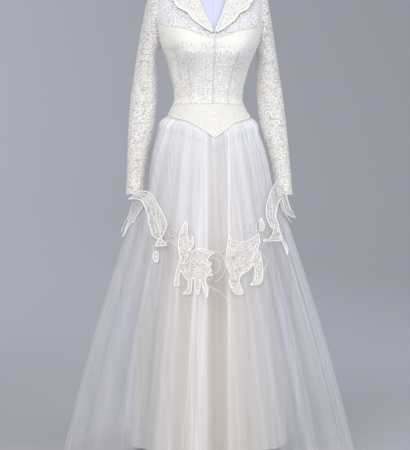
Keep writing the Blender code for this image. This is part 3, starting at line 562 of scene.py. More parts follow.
def skirt(turn, height, layer, pressed=True, gathered=True):
    """Middle of the tulle skirt (layer 2) or of the overskirt (layer 1)."""
    point = body(turn, height)
    drop = EDGE.at(off_front(turn)) - height
    out = OFFSET.at(drop, layer)
    crest = folds(turn, FOLDS) if pressed else bridged_folds(turn)
    out += growth(turn, height) * (crest - FOLD_CREST)
    if pressed:
        side = (off_front(turn) - 82.0) / 19.0
        out -= HOLLOW.at(height) * math.exp(-side * side)
    if gathered:
        out += gathers(turn if layer == 2 else turn + 1.7, drop)
        out += PLEAT_RISE * pleated(turn, height, layer)
        out += PUFF * bump((drop - PUFF_DROP) / PUFF_DROP)
    return point + outward(point) * out


def border(turn, height):
    """Surface the lace leaves lie on; they stand free where the sleeve presses the tulle."""
    return skirt(turn, height, 1, pressed=False, gathered=False)


def underskirt(turn, height):
    """Middle of the satin underskirt."""
    point = section_point(turn, *UNDER.row(height), 2.0, height)
    return point + outward(point) * growth(turn, height) * (folds(turn, UNDER_FOLDS) - 5.0)


def creased(turn, height, rows):
    """Depth of the creases at a place of the bodice."""
    total = 0.0
    for centre, middle, lean, half_length, half_width, depth in rows:
        x = math.radians(turn - centre) * CREASE_RADIUS
        z = height - middle
        angle = math.radians(lean)
        along = z * math.cos(angle) + x * math.sin(angle)
        across = x * math.cos(angle) - z * math.sin(angle)
        total += depth * bump(along / half_length) * bump(across / half_width)
    return total


def front_panel(turn, height):
    """Bodice front with its shaped seams and creases."""
    out = creased(off_front(turn), height, BODICE_CREASES)
    out += creased(turn, height, RIGHT_HOLLOWS)
    if height < PRINCESS.keys[-1] + 12:
        seam = PRINCESS.at(height, 2 if turn > 0 else 1)
        fading = min((PRINCESS.keys[-1] + 12 - height) / 24.0, 1.0)
        out -= 1.3 * fading * bump((off_front(turn) - seam - 1.4) / 1.8)
    return off(body, turn, height, out)


def back_panel(turn, height):
    """Bodice back with its darts and creases."""
    from_back = 180.0 - off_front(turn)
    out = creased(from_back, height, BACK_CREASES)
    dart = bump((height - 1075) / 90.0)
    out -= 0.7 * dart * bump((from_back - 30.0 - 3.0 * (1 - dart)) / 1.4)
    return off(body, turn, height, out)


def armhole(height, back=False):
    """Turn of the armhole's front or back edge at a height."""
    share = clamp((height - ARMHOLE_MIDDLE) / ARMHOLE_HALF, -1.0)
    away = ARMHOLE_TURN * math.sqrt(1 - share * share)
    return 90.0 + away if back else 90.0 - away


def line(start, end, steps):
    return [
        (start[0] + (end[0] - start[0]) * i / steps, start[1] + (end[1] - start[1]) * i / steps)
        for i in range(steps + 1)
    ]


def rise(low, high, steps, back=False):
    """Armhole edge between two heights, its points closer together at the ends."""
    start = math.acos(clamp((ARMHOLE_MIDDLE - low) / ARMHOLE_HALF, -1.0))
    end = math.acos(clamp((ARMHOLE_MIDDLE - high) / ARMHOLE_HALF, -1.0))
    edge = []
    for i in range(steps + 1):
        height = ARMHOLE_MIDDLE - ARMHOLE_HALF * math.cos(start + (end - start) * i / steps)
        edge.append((armhole(height, back), height))
    return edge


def joined(corners, steps):
    """Straight runs between corner places, each cut into the same number of steps."""
    edge = [corners[0]]
    for start, end in zip(corners, corners[1:]):
        edge += line(start, end, steps)[1:]
    return edge


def blend(edge, share):
    """Place on a line of places at a share of its number of steps."""
    place = share * (len(edge) - 1)
    step = min(int(place), len(edge) - 2)
    part = place - step
    low, high = edge[step], edge[step + 1]
    return (low[0] + (high[0] - low[0]) * part, low[1] + (high[1] - low[1]) * part)


def patch(bottom, top, left, right, columns, rows):
    """Grid of (turn, height) places filled in between four edges, rows from the top."""
    grid = []
    for r in range(rows):
        v = 1.0 - r / (rows - 1)
        row = []
        for c in range(columns):
            u = c / (columns - 1)
            low, high = blend(bottom, u), blend(top, u)
            near, far = blend(left, v), blend(right, v)
            place = []
            for axis in (0, 1):
                corners = (
                    (1 - u) * (1 - v) * bottom[0][axis]
                    + u * (1 - v) * bottom[-1][axis]
                    + (1 - u) * v * top[0][axis]
                    + u * v * top[-1][axis]
                )
                across = (1 - v) * low[axis] + v * high[axis]
                along = (1 - u) * near[axis] + u * far[axis]
                place.append(across + along - corners)
            row.append(tuple(place))
        grid.append(row)
    return grid


def mirrored(grid):
    """The same places on the wearer's right, columns kept in the order of turn."""
    return [[(-turn, height) for turn, height in reversed(row)] for row in grid]


def sleeve_point(ring, angle):
    """Point of the wearer's left sleeve; ring counts from the first below the armhole."""
    inner_x, inner_height, outer_x, outer_height, middle, half_depth = SLEEVE.row(ring)
    inner = Vector((inner_x, middle, inner_height))
    outer = Vector((outer_x, middle, outer_height))
    point = (inner + outer) / 2 + (outer - inner) / 2 * math.cos(angle)
    point.y -= half_depth * math.sin(angle)
    return point


def armhole_point(angle):
    """Point of the left armhole's edge, angle 0 at the shoulder and 90 at the front."""
    height = ARMHOLE_MIDDLE + ARMHOLE_HALF * math.cos(angle)
    return body(armhole(height, back=math.sin(angle) < 0), height)


# Meshes


def add_mesh(name, points, faces, looks, places=None, attributes=None):
    """Object from points in millimetres, with a map of cut places in metres."""
    mesh = bpy.data.meshes.new(name)
    mesh.from_pydata([point * MM for point in points], [], faces)
    mesh.update()
    mesh.shade_smooth()
    for look in looks:
        mesh.materials.append(look)
    corners = np.zeros(len(mesh.loops), np.int32)
    mesh.loops.foreach_get("vertex_index", corners)
    if places is not None:
        layer = mesh.uv_layers.new(name="cut")
        layer.data.foreach_set("uv", np.array(places, np.float32)[corners].ravel())
    for label, values in (attributes or {}).items():
        made = mesh.attributes.new(label, "FLOAT", "POINT")
        made.data.foreach_set("value", np.array(values, np.float32))
    made = bpy.data.objects.new(name, mesh)
    bpy.context.scene.collection.objects.link(made)
    return made


def sheet_faces(rows, columns, tube=False):
    faces = []
    for r in range(rows - 1):
        for c in range(columns if tube else columns - 1):
            a = r * columns + c
            b = r * columns + (c + 1) % columns
            faces.append((a, a + columns, b + columns, b))
    return faces


def closed_tube_faces(rows, columns):
    last = (rows - 1) * columns
    ends = [tuple(range(columns)), tuple(reversed(range(last, last + columns)))]
    return sheet_faces(rows, columns, tube=True) + ends


def cut_places(grid):
    """Place of each point on the flat cloth, measured along its row and down its column."""
    places = []
    down = [0.0] * len(grid[0])
    for r, row in enumerate(grid):
        lengths = [0.0]
        for before, after in zip(row, row[1:]):
            lengths.append(lengths[-1] + (after - before).length)
        middle = lengths[len(lengths) // 2]
        for c, point in enumerate(row):
            if r > 0:
                down[c] += (point - grid[r - 1][c]).length
            places.append(((lengths[c] - middle) * MM, -down[c] * MM))
    return places


def sheet(name, grid, look, places=None, attributes=None):
    """Single sheet of cloth through a grid of points."""
    points = [point for row in grid for point in row]
    return add_mesh(name, points, sheet_faces(len(grid), len(grid[0])), [look],
                    places or cut_places(grid), attributes)


def upright_places(grid):
    """Places on the cloth of an upright tube: the level distance round it and the height."""
    places = []
    for row in grid:
        travelled = [0.0]
        for before, after in zip(row, row[1:]):
            travelled.append(travelled[-1] + (after.xy - before.xy).length)
        middle = travelled[len(row) // 4]
        places += [((at - middle) * MM, point.z * MM) for at, point in zip(travelled, row)]
    return places


def shell(name, grid, thickness, look):
    """Sheet of cloth with its thickness inside the grid's points."""
    rows, columns = len(grid), len(grid[0])
    inner = []
    for r, row in enumerate(grid):
        for c, point in enumerate(row):
            across = grid[r][min(c + 1, columns - 1)] - grid[r][max(c - 1, 0)]
            upward = grid[max(r - 1, 0)][c] - grid[min(r + 1, rows - 1)][c]
            inner.append(point - across.cross(upward).normalized() * thickness)
    points = [point for row in grid for point in row] + inner
    shift = rows * columns
    faces = sheet_faces(rows, columns)
    faces += [tuple(corner + shift for corner in reversed(face)) for face in faces]
    rim = list(range(columns))
    rim += [r * columns + columns - 1 for r in range(1, rows)]
    rim += [(rows - 1) * columns + c for c in range(columns - 2, -1, -1)]
    rim += [r * columns for r in range(rows - 2, 0, -1)]
    for a, b in zip(rim, rim[1:] + rim[:1]):
        faces.append((a, b, b + shift, a + shift))
    places = cut_places(grid)
    return add_mesh(name, points, faces, [look], places + places)


class Strands:
    """Round cords along lines of points, gathered into one mesh."""

    def __init__(self, sides=8):
        self.sides = sides
        self.points = []
        self.faces = []
        self.places = []

    def lay(self, path, radius, closed=False):
        """One cord; radius is a number or a function of the share of its length."""
        count = len(path)
        first = len(self.points)
        travelled = 0.0
        for i, point in enumerate(path):
            before = path[i - 1] if closed or i else point
            after = path[(i + 1) % count] if closed or i < count - 1 else point
            if i:
                travelled += (point - path[i - 1]).length
            ahead = (after - before).normalized()
            side = ahead.cross(outward(point) + Vector((0, 0, 0.02))).normalized()
            lift = side.cross(ahead)
            thick = radius(i / (count - 1)) if callable(radius) else radius
            for k in range(self.sides):
                angle = 2 * math.pi * k / self.sides
                self.points.append(point + (side * math.cos(angle) + lift * math.sin(angle)) * thick)
                self.places.append((travelled * MM, k / self.sides * 0.008))
        rings = count if closed else count - 1
        for i in range(rings):
            for k in range(self.sides):
                a = first + i * self.sides + k
                b = first + i * self.sides + (k + 1) % self.sides
                c = first + ((i + 1) % count) * self.sides + (k + 1) % self.sides
                d = first + ((i + 1) % count) * self.sides + k
                self.faces.append((a, b, c, d))
        if not closed:
            start = [first + k for k in range(self.sides)]
            end = [first + (count - 1) * self.sides + k for k in range(self.sides)]
            self.faces += [tuple(reversed(start)), tuple(end)]

    def made(self, name, look):
        return add_mesh(name, self.points, self.faces, [look], self.places)


def dress(piece, slot_name, *nodes):
    """A piece rides on the one body and stands for its solids."""
    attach(piece, "root")
    if nodes:
        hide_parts(*nodes)
    return piece


def cut_size(grid, tube=False):
    """Flat width, length and area in metres of cloth that was neither stretched nor shrunk."""
    width = 0.0
    for row in grid:
        closing = (row[0] - row[-1]).length if tube else 0.0
        width = max(width, closing + sum((b - a).length for a, b in zip(row, row[1:])))
    length = 0.0
    for c in range(len(grid[0])):
        length = max(length, sum((b[c] - a[c]).length for a, b in zip(grid, grid[1:])))
    area = 0.0
    for upper, lower in zip(grid, grid[1:]):
        for c in range(len(upper) if tube else len(upper) - 1):
            d = (c + 1) % len(upper)
            area += (upper[d] - lower[c]).cross(lower[d] - upper[c]).length / 2
    return width * MM, length * MM, area * MM * MM


def declare(grid, held, tube=False):
    width, length, area = cut_size(grid, tube)
    width, length = math.ceil(width * 200) / 200, math.ceil(length * 200) / 200
    round(max(area, 0.301 * width * length), 5)


# Finishes


class Value:
    """A shader number that can be used in Python expressions."""

    def __init__(self, paint, socket):
        self.paint = paint
        self.socket = socket

    def __add__(self, other):
        return self.paint.math("ADD", self, other)

    def __sub__(self, other):
        return self.paint.math("SUBTRACT", self, other)

    def __rsub__(self, other):
        return self.paint.math("SUBTRACT", other, self)

    def __mul__(self, other):
        return self.paint.math("MULTIPLY", self, other)

    def __rpow__(self, other):
        return self.paint.math("POWER", other, self)

    def __abs__(self):
        return self.paint.math("ABSOLUTE", self)

    __radd__ = __add__
    __rmul__ = __mul__


class Paint:
    """One procedural finish on a Principled shader."""

    def __init__(self, name, constants):
        self.material = bpy.data.materials.new(name)
        self.material.use_nodes = True
        self.tree = self.material.node_tree
        self.shader = self.tree.nodes["Principled BSDF"]
        for label, value in constants.items():
            self.shader.inputs[label].default_value = value

    def node(self, kind, settings=None, sockets=None):
        """A node with its settings made first, then the values or links of its sockets."""
        made = self.tree.nodes.new(kind)
        for label, value in (settings or {}).items():
            setattr(made, label, value)
        for label, value in (sockets or {}).items():
            self.feed(made.inputs[label], value)
        return made

    def feed(self, socket, value):
        if isinstance(value, Value):
            self.tree.links.new(value.socket, socket)
        elif isinstance(value, bpy.types.NodeSocket):
            self.tree.links.new(value, socket)
        else:
            socket.default_value = value

    def surface(self, label, value):
        self.feed(self.shader.inputs[label], value)

    def math(self, operation, *values):
        made = self.node("ShaderNodeMath", {"operation": operation}, dict(enumerate(values)))
        return Value(self, made.outputs[0])

    def vector(self, operation, *values):
        made = self.node("ShaderNodeVectorMath", {"operation": operation}, dict(enumerate(values)))
        return made.outputs["Vector"]

    def smooth(self, value, low, high):
        """0 below low, 1 above high and a smooth step between."""
        made = self.node("ShaderNodeMapRange", {"interpolation_type": "SMOOTHSTEP"},
                         {"Value": value, "From Min": low, "From Max": high})
        return Value(self, made.outputs["Result"])

    def band(self, value, half_width):
        """1 where a value is near nothing, 0 further off than the half width."""
        return 1 - self.smooth(abs(value), half_width * 0.55, half_width)

    def scaled(self, vector, factor):
        made = self.node("ShaderNodeVectorMath", {"operation": "SCALE"},
                         {0: vector, "Scale": factor})
        return made.outputs["Vector"]

    def either(self, first, second):
        return self.math("MAXIMUM", first, second)

    def mix(self, share, first, second):
        """Colour between two colours."""
        made = self.node("ShaderNodeMix", {"data_type": "RGBA"},
                         {"Factor": share, 6: first, 7: second})
        return made.outputs[2]

    def shaded(self, share, colour, darker):
        """Colour that varies down to a darker share of itself."""
        return self.mix(share, rgb(colour), rgb([c * darker for c in colour]))

    def stretched(self, vector, scale):
        return self.node("ShaderNodeMapping", None, {"Vector": vector, "Scale": scale}).outputs["Vector"]

    def axes(self, vector):
        made = self.node("ShaderNodeSeparateXYZ", None, {0: vector})
        return [Value(self, made.outputs[axis]) for axis in "XYZ"]

    def cut(self):
        """Place on the flat cloth, in metres."""
        return self.node("ShaderNodeUVMap", {"uv_map": "cut"}).outputs["UV"]

    def place(self):
        return self.node("ShaderNodeTexCoord").outputs["Object"]

    def noise(self, where, scale, detail=2.0, flat=False):
        made = self.node("ShaderNodeTexNoise", {"noise_dimensions": "2D" if flat else "3D"},
                         {"Vector": where, "Scale": scale, "Detail": detail})
        return Value(self, made.outputs["Fac"])

    def bumped(self, height, strength, distance):
        made = self.node("ShaderNodeBump", None,
                         {"Height": height, "Strength": strength, "Distance": distance})
        self.surface("Normal", made.outputs["Normal"])

    def attribute(self, label):
        made = self.node("ShaderNodeAttribute", {"attribute_name": label})
        return Value(self, made.outputs["Fac"])


def rgb(colour):
    return (colour[0], colour[1], colour[2], 1.0)


def flowers(paint, place, scale, petals, ring_width):
    """Ringed flowers in uneven rows: the mask of their threads and the ground they cover."""
    cells = paint.node("ShaderNodeTexVoronoi", {"voronoi_dimensions": "2D"},
                       {"Vector": place, "Scale": scale, "Randomness": 0.6})
    at = paint.scaled(cells.outputs["Position"], 1.0)
    away = paint.vector("SUBTRACT", paint.scaled(place, 1.0), at)
    x, y, _ = paint.axes(away)
    tint = paint.node("ShaderNodeSeparateColor", None, {0: cells.outputs["Color"]})
    chance = Value(paint, tint.outputs[0])
    angle = paint.math("ARCTAN2", y, x)
    distance = Value(paint, cells.outputs["Distance"])
    lobes = paint.math("SINE", angle * petals + chance * 6.28)
    size = 0.27 + chance * 0.08
    ring = paint.band(distance - size - lobes * 0.05, ring_width)
    eye = 1 - paint.smooth(distance, 0.06, 0.13)
    covered = 1 - paint.smooth(distance, size + 0.02, size + 0.14)
    return paint.either(ring, eye), covered


def lace_threads(paint, motif):
    """Mask of ringed flowers with smaller curls between them, joined by broken stems."""
    place = paint.scaled(paint.cut(), 1 / motif)
    sway = paint.node("ShaderNodeTexNoise", {"noise_dimensions": "2D"},
                      {"Vector": place, "Scale": 0.5, "Detail": 0.0})
    place = paint.vector("ADD", place, paint.scaled(sway.outputs["Color"], 0.6))
    large, covered = flowers(paint, place, 1.0, 5, 0.10)
    small, _ = flowers(paint, place, 1.9, 4, 0.15)
    edges = paint.node("ShaderNodeTexVoronoi",
                       {"voronoi_dimensions": "2D", "feature": "DISTANCE_TO_EDGE"},
                       {"Vector": place, "Scale": 1.0, "Randomness": 0.6})
    kept = paint.smooth(paint.noise(place, 0.9, 1.0, flat=True), 0.46, 0.56)
    stems = paint.band(Value(paint, edges.outputs["Distance"]), 0.07) * kept
    between = paint.either(small * 0.7, stems * 0.9) * (1 - covered)
    return paint.either(large, between)


def lace_finish(name, looks, thread, ground, thread_cover=1.0, ground_cover=1.0, seam=False,
                lined_above=None):
    """Lace with raised threads; the ground is net, or the lining that shows through it."""
    paint = Paint(name, {"Roughness": 0.72, "Specular IOR Level": 0.25})
    threads = lace_threads(paint, looks.motif)
    patches = paint.noise(paint.cut(), 22.0, 3.0, flat=True)
    tone = paint.shaded(patches * 0.5, ground, 0.93)
    if lined_above:
        ragged = (patches - 0.5) * 0.012
        lined = paint.smooth(paint.axes(paint.place())[2] + ragged, *lined_above)
        tone = paint.mix(lined, tone, rgb(looks.bust))
        threads = threads * (1 - lined * 0.7)
    cover = ground_cover + threads * (thread_cover - ground_cover)
    if seam:
        doubled = paint.attribute("seam")
        tone = paint.mix(doubled, tone, rgb(looks.seam))
        cover = paint.math("MINIMUM", cover + doubled * 0.45, 1.0)
    paint.surface("Base Color", paint.mix(threads, tone, rgb(thread)))
    if ground_cover < 1.0:
        paint.surface("Alpha", cover)
    weave = paint.noise(paint.cut(), 900.0, 1.0, flat=True)
    paint.bumped(threads + weave * 0.35, 0.6, 0.0009)
    return paint.material


def cord_finish(name, colour):
    """Twisted cord laid on the lace, painted darker in the grooves of its twist as shade."""
    paint = Paint(name, {"Roughness": 0.55, "Specular IOR Level": 0.3})
    along, round_it, _ = paint.axes(paint.cut())
    twist = paint.math("SINE", along * 3600 + round_it * 785)
    # Painted shade: the colour is darker where the twist's bump is low, in its grooves.
    painted_shade = 0.5 + twist * 0.5
    paint.surface("Base Color", paint.mix(painted_shade, rgb([c * 0.9 for c in colour]), rgb(colour)))
    paint.bumped(painted_shade, 0.4, 0.0004)
    return paint.material


def tulle_finish(name, looks):
    """Net whose cover grows where it is gathered or folded on itself."""
    paint = Paint(name, {"Roughness": 0.8, "Specular IOR Level": 0.15})
    layers = paint.attribute("layers")
    grain = paint.noise(paint.stretched(paint.cut(), (160.0, 3.0, 1.0)), 1.0, 3.0, flat=True)
    bands = paint.noise(paint.stretched(paint.cut(), (38.0, 1.6, 1.0)), 1.0, 2.0, flat=True)
    open_share = (1.0 - looks.cover) ** (layers * (0.25 + grain * 0.7 + bands * 0.8))
    paint.surface("Alpha", 1 - open_share)
    cloud = paint.noise(paint.place(), 9.0, 2.0)
    paint.surface("Base Color", paint.shaded(cloud, looks.colour, 0.96))
    mesh = paint.noise(paint.cut(), 1500.0, 0.0, flat=True)
    paint.bumped(mesh, 0.2, 0.0004)
    return paint.material


def satin_finish(name, looks):
    """Smooth ivory satin with a soft sheen across the folds; its sides are painted darker and cooler as
    shade.
    """
    paint = Paint(name, {"Sheen Weight": 0.15, "Sheen Roughness": 0.4})
    threads = paint.noise(paint.stretched(paint.cut(), (2600.0, 500.0, 1.0)), 1.0, 1.0, flat=True)
    cloud = paint.noise(paint.place(), 6.0, 2.0)
    tone = paint.shaded(cloud, looks.satin, 0.95)
    # Painted shade: towards the sides the satin is mixed to a darker, cooler colour, standing in for the
    # shade under the gathered tulle.
    tone = paint.mix(paint.attribute("painted_shade"), tone, rgb(looks.satin_side_painted_shade))
    paint.surface("Base Color", tone)
    paint.surface("Roughness", 0.36 + threads * 0.14)
    paint.bumped(threads, 0.12, 0.0004)
    return paint.material


def cover_finish(name, colour):
    """Fine knit cover drawn tight over the form."""
    paint = Paint(name, {"Roughness": 0.85, "Specular IOR Level": 0.2})
    place = paint.place()
    knit = paint.noise(place, 1400.0, 1.0)
    cloud = paint.noise(place, 7.0, 2.0)
    paint.surface("Base Color", paint.shaded(cloud, colour, 0.97))
    paint.bumped(knit, 0.15, 0.0004)
    return paint.material


def paint_finish(name, colour):
    """Satin paint with faint brush marks."""
    paint = Paint(name, {"Coat Roughness": 0.2})
    marks = paint.noise(paint.place(), 160.0, 3.0)
    paint.surface("Base Color", paint.shaded(marks, colour, 0.95))
    paint.surface("Roughness", 0.38 + marks * 0.16)
    paint.surface("Coat Weight", 0.1 + marks * 0.1)
    return paint.material


def steel_finish(name, colour):
    """Steel brushed along its length."""
    paint = Paint(name, {"Metallic": 1.0})
    brushed = paint.noise(paint.stretched(paint.place(), (900.0, 900.0, 12.0)), 1.0, 3.0)
    paint.surface("Base Color", paint.shaded(brushed, colour, 0.85))
    paint.surface("Roughness", 0.26 + brushed * 0.2)
    paint.bumped(brushed, 0.1, 0.0003)
    return paint.material


def backdrop_finish(name, colour):
    """Seamless studio paper."""
    paint = Paint(name, {"Roughness": 0.95, "Specular IOR Level": 0.1})
    fibre = paint.noise(paint.place(), 300.0, 3.0)
    paint.surface("Base Color", paint.shaded(fibre, colour, 0.985))
    return paint.material


# Sizes and colours that a user may change


def size_property(label, about, default, low, high, **kind):
    return bpy.props.FloatProperty(
        name=label, description=about, default=default, min=low, max=high, **kind)


def length_property(*about):
    return size_property(*about, subtype="DISTANCE", unit="LENGTH")


def power_property(*about):
    return size_property(*about, subtype="POWER", unit="POWER")


def colour_property(label, about, default):
    return bpy.props.FloatVectorProperty(
        name=label, description=about, default=default, size=3, min=0.0, max=1.0, subtype="COLOR")


class LaceLooks(bpy.types.PropertyGroup):
    """Lace of the bodice, sleeves, collar and leaves."""

    motif: length_property("Motif", "Distance between flowers", 0.020, 0.005, 0.06)
    thread: colour_property("Thread", "Colour of the raised thread", (0.93, 0.92, 0.88))
    lining: colour_property("Lining", "Colour seen through the bodice's lace", (0.66, 0.655, 0.63))
    net: colour_property("Net", "Colour of the sheer lace's net", (0.74, 0.71, 0.66))
    bust: colour_property("Bust", "Colour of the thicker lining at the bust", (0.78, 0.765, 0.715))
    basque: colour_property("Basque", "Colour seen through the basque's lace", (0.72, 0.70, 0.635))
    collar: colour_property("Collar", "Colour of the collar's ground", (0.61, 0.60, 0.555))
    yoke: colour_property("Yoke", "Colour of the yoke's net", (0.86, 0.86, 0.88))
    seam: colour_property("Seam", "Colour of the sleeves' seam", (0.76, 0.69, 0.57))
    # Seam cords: real piping, coloured darker than the thread as painted shade of the creases beside the
    # seams.
    edge: colour_property("Edge", "Colour of the bodice's seam edges", (0.78, 0.72, 0.60))
    curl: colour_property("Curl", "Colour of the curls of the border", (0.87, 0.84, 0.77))
    leaf: colour_property("Leaf", "Colour of the net inside the leaves", (0.72, 0.66, 0.57))
    cord: colour_property("Cord", "Colour of the cords and pipings", (0.95, 0.94, 0.90))
    cord_radius: length_property("Cord radius", "Radius of the leaves' cords", 0.0015, 0.0003, 0.003)


class SkirtLooks(bpy.types.PropertyGroup):
    """Tulle and satin of the skirt."""

    colour: colour_property("Tulle", "Colour of the tulle's thread", (0.92, 0.92, 0.955))
    satin: colour_property("Satin", "Colour of the underskirt", (0.69, 0.62, 0.535))
    # Painted shade: the darker, cooler colour painted on the underskirt's sides.
    satin_side_painted_shade: colour_property("Satin sides", "Colour of the underskirt's sides", (0.51, 0.49, 0.47))
    cover: size_property(
        "Tulle cover", "Share of the light that flat tulle stops", 0.13, 0.02, 0.9, subtype="FACTOR")
    gathered: size_property(
        "Fullness", "Gathered width over the width it is held in at the waist", 10.0, 1.0, 12.0)
    columns: bpy.props.IntProperty(
        name="Columns", description="Steps round each skirt", default=720, min=90, max=1440)


class FormLooks(bpy.types.PropertyGroup):
    """Dress form and stand."""

    cover: colour_property("Cover", "Colour of the form's cover", (0.60, 0.625, 0.77))
    cap: colour_property("Cap", "Colour of the neck cap", (0.74, 0.74, 0.77))
    steel: colour_property("Steel", "Colour of the stand", (0.60, 0.60, 0.62))


class StageLooks(bpy.types.PropertyGroup):
    """Backdrop, lights and camera."""

    backdrop: colour_property("Backdrop", "Colour of the paper", (0.42, 0.425, 0.465))
    distance: length_property("Camera distance", "From the dress's axis", 4.0, 1.0, 20.0)
    azimuth: bpy.props.FloatProperty(
        name="Azimuth", description="Turn of the camera round the dress", default=math.radians(-8.0),
        subtype="ANGLE", unit="ROTATION")
    camera_height: length_property("Camera height", "Height of the lens above the floor", 0.661, 0.0, 3.0)
    aside: length_property(
        "Aside", "How far the camera's line passes beside the axis", -0.009, -0.5, 0.5)
    lens: size_property("Lens", "Focal length in millimetres on a 36 mm frame", 110.3, 20.0, 300.0)
    key_power: power_property("Key light", "Power of the large soft light", 108.0, 0.0, 1000.0)
    fill_power: power_property("Fill light", "Power of the fill light", 52.0, 0.0, 1000.0)
    sky: size_property("Ambient", "Strength of the even light of the studio", 0.66, 0.0, 3.0)


# Pieces


def panel_piece(name, grid, surface, thickness, look, slot_name, held, sheer=False):
    """Fine panel that stands for the solid of the same name."""
    points = [[surface(turn, height) for turn, height in row] for row in grid]
    label = "lace_" + name
    made = sheet(label, points, look) if sheer else shell(label, points, thickness, look)
    dress(made, slot_name, name)
    declare(points, held)


def panel_pair(name, grid, *options, **more):
    """The same panel on the wearer's left and right."""
    panel_piece(name + "_left", grid, *options, **more)
    panel_piece(name + "_right", mirrored(grid), *options, **more)


class DRESS_OT_form(bpy.types.Operator):
    """Smooth limbless form with its neck"""

    bl_idname = "dress.form"
    bl_label = "Dress form"

    def execute(self, context):
        low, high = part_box("dress_form")
        looks = context.scene.dress_form_looks
        foot, top = low.z / MM, high.z / MM
        columns, rows = 120, 110
        points = []
        for r in range(rows + 1):
            height = top - (top - foot) * r / rows
            level = min(height, FORM_TOP)
            for c in range(columns):
                turn = 360.0 * c / columns
                point = off(body, turn, level, -FORM_INSET.at(height))
                if r in (0, rows):
                    point.z = height
                points.append(point)
        cover = cover_finish("form_cover_finish", looks.cover)
        made = add_mesh("smooth_dress_form", points, closed_tube_faces(rows + 1, columns), [cover])
        dress(made, "form_cover", "dress_form")
        seams = Strands(6)
        for turn in (0, 33, 90, 147, 180, 213, 270, 327):
            path = [off(body, turn, min(h, FORM_TOP), -FORM_INSET.at(h) + 0.15)
                    for h in np.linspace(foot + 6, top - 6, 90)]
            seams.lay(path, 0.55)
        darker = [c * 0.9 for c in looks.cover]
        dress(seams.made("form_seams", cover_finish("form_seam_finish", darker)), "form_cover")
        return {"FINISHED"}


def round_sizes(node):
    """Radius, foot, top and middle's y of a round node, in millimetres."""
    low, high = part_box(node)
    return (high.x - low.x) / 2 / MM, low.z / MM, high.z / MM, (low.y + high.y) / 2 / MM


def turned(name, profile, centre_y, segments, look):
    """Round body from (radius, height) pairs, top first, closed at both ends."""
    points = []
    for radius, height in profile:
        for k in range(segments):
            angle = 2 * math.pi * k / segments
            points.append(Vector((radius * math.sin(angle), centre_y - radius * math.cos(angle), height)))
    made = add_mesh(name, points, closed_tube_faces(len(profile), segments), [look])
    made.data.set_sharp_from_angle(angle=math.radians(40))
    return made


def quarter_round(across, height, reach, drop, steps):
    """Profile from straight above a centre at (across, height) to straight beside it."""
    angles = [math.radians(90 * step / steps) for step in range(steps + 1)]
    return [(across + reach * math.sin(a), height + drop * math.cos(a)) for a in angles]


class DRESS_OT_stand(bpy.types.Operator):
    """Neck cap, pole and base of the stand"""

    bl_idname = "dress.stand"
    bl_label = "Stand"

    def execute(self, context):
        looks = context.scene.dress_form_looks
        steel = steel_finish("stand_steel_finish", looks.steel)
        radius, foot, top, centre_y = round_sizes("form_neck_cap")
        dome = quarter_round(radius * 0.3, foot + 4, radius * 0.7, top - foot - 4, 12)
        profile = [(0.5, top)] + dome + [(radius, foot)]
        painted = paint_finish("neck_cap_finish", looks.cap)
        cap = turned("painted_neck_cap", profile, centre_y, 96, painted)
        dress(cap, "painted_cap", "form_neck_cap")

        radius, foot, top, _ = round_sizes("form_pole")
        profile = [(radius, top), (radius, foot + 70), (radius, foot)]
        pole = turned("brushed_pole", profile, 0.0, 64, steel)
        dress(pole, "stand_metal", "form_pole")

        radius, _, top, _ = round_sizes("form_base")
        profile = [(0.5, top), (radius - 14, top)] + quarter_round(radius - 8, top - 8, 8, 8, 8)
        profile += [(radius, 1.0), (radius - 1.0, 0.0)]
        base = turned("brushed_base", profile, 0.0, 128, steel)
        dress(base, "stand_metal", "form_base")
        return {"FINISHED"}


class DRESS_OT_bodice(bpy.types.Operator):
    """Fronts and backs of the bodice, in lace over an ivory lining"""

    bl_idname = "dress.bodice"
    bl_label = "Bodice"

    def execute(self, context):
        looks = context.scene.dress_lace_looks
        lace = lace_finish("bodice_lace_finish", looks, looks.thread, looks.lining,
                           lined_above=(1.166, 1.178))
        k = PANEL_STEPS
        top = [(turn, SWEET.at(turn)) for turn, _ in joined([(t, 0.0) for t in FRONT_TURNS], k)]
        centre = line((0.0, WAIST_SEAM), top[0], 8 * k)
        side = line((90.0, WAIST_SEAM), (90.0, UNDERARM), 5 * k)
        side += rise(UNDERARM, top[-1][1], 3 * k)[1:]
        low = line((0.0, WAIST_SEAM), (90.0, WAIST_SEAM), 8 * k)
        top[-1] = side[-1]
        grid = patch(low, top, centre, side, 8 * k + 1, 8 * k + 1)
        options = (CLOTH, lace, "ivory_lace", "stretched")
        panel_pair("bodice_front", grid, front_panel, *options)

        side = line((90.0, WAIST_SEAM), (90.0, UNDERARM), 5 * k)
        side += rise(UNDERARM, YOKE_SEAM_BACK, 3 * k, back=True)[1:]
        centre = line((180.0, WAIST_SEAM), (180.0, YOKE_SEAM_BACK), 8 * k)
        grid = patch(line(side[0], centre[0], 8), line(side[-1], centre[-1], 8), side, centre,
                     7 * k + 1, 8 * k + 1)
        panel_pair("bodice_back", grid, back_panel, *options)
        return {"FINISHED"}


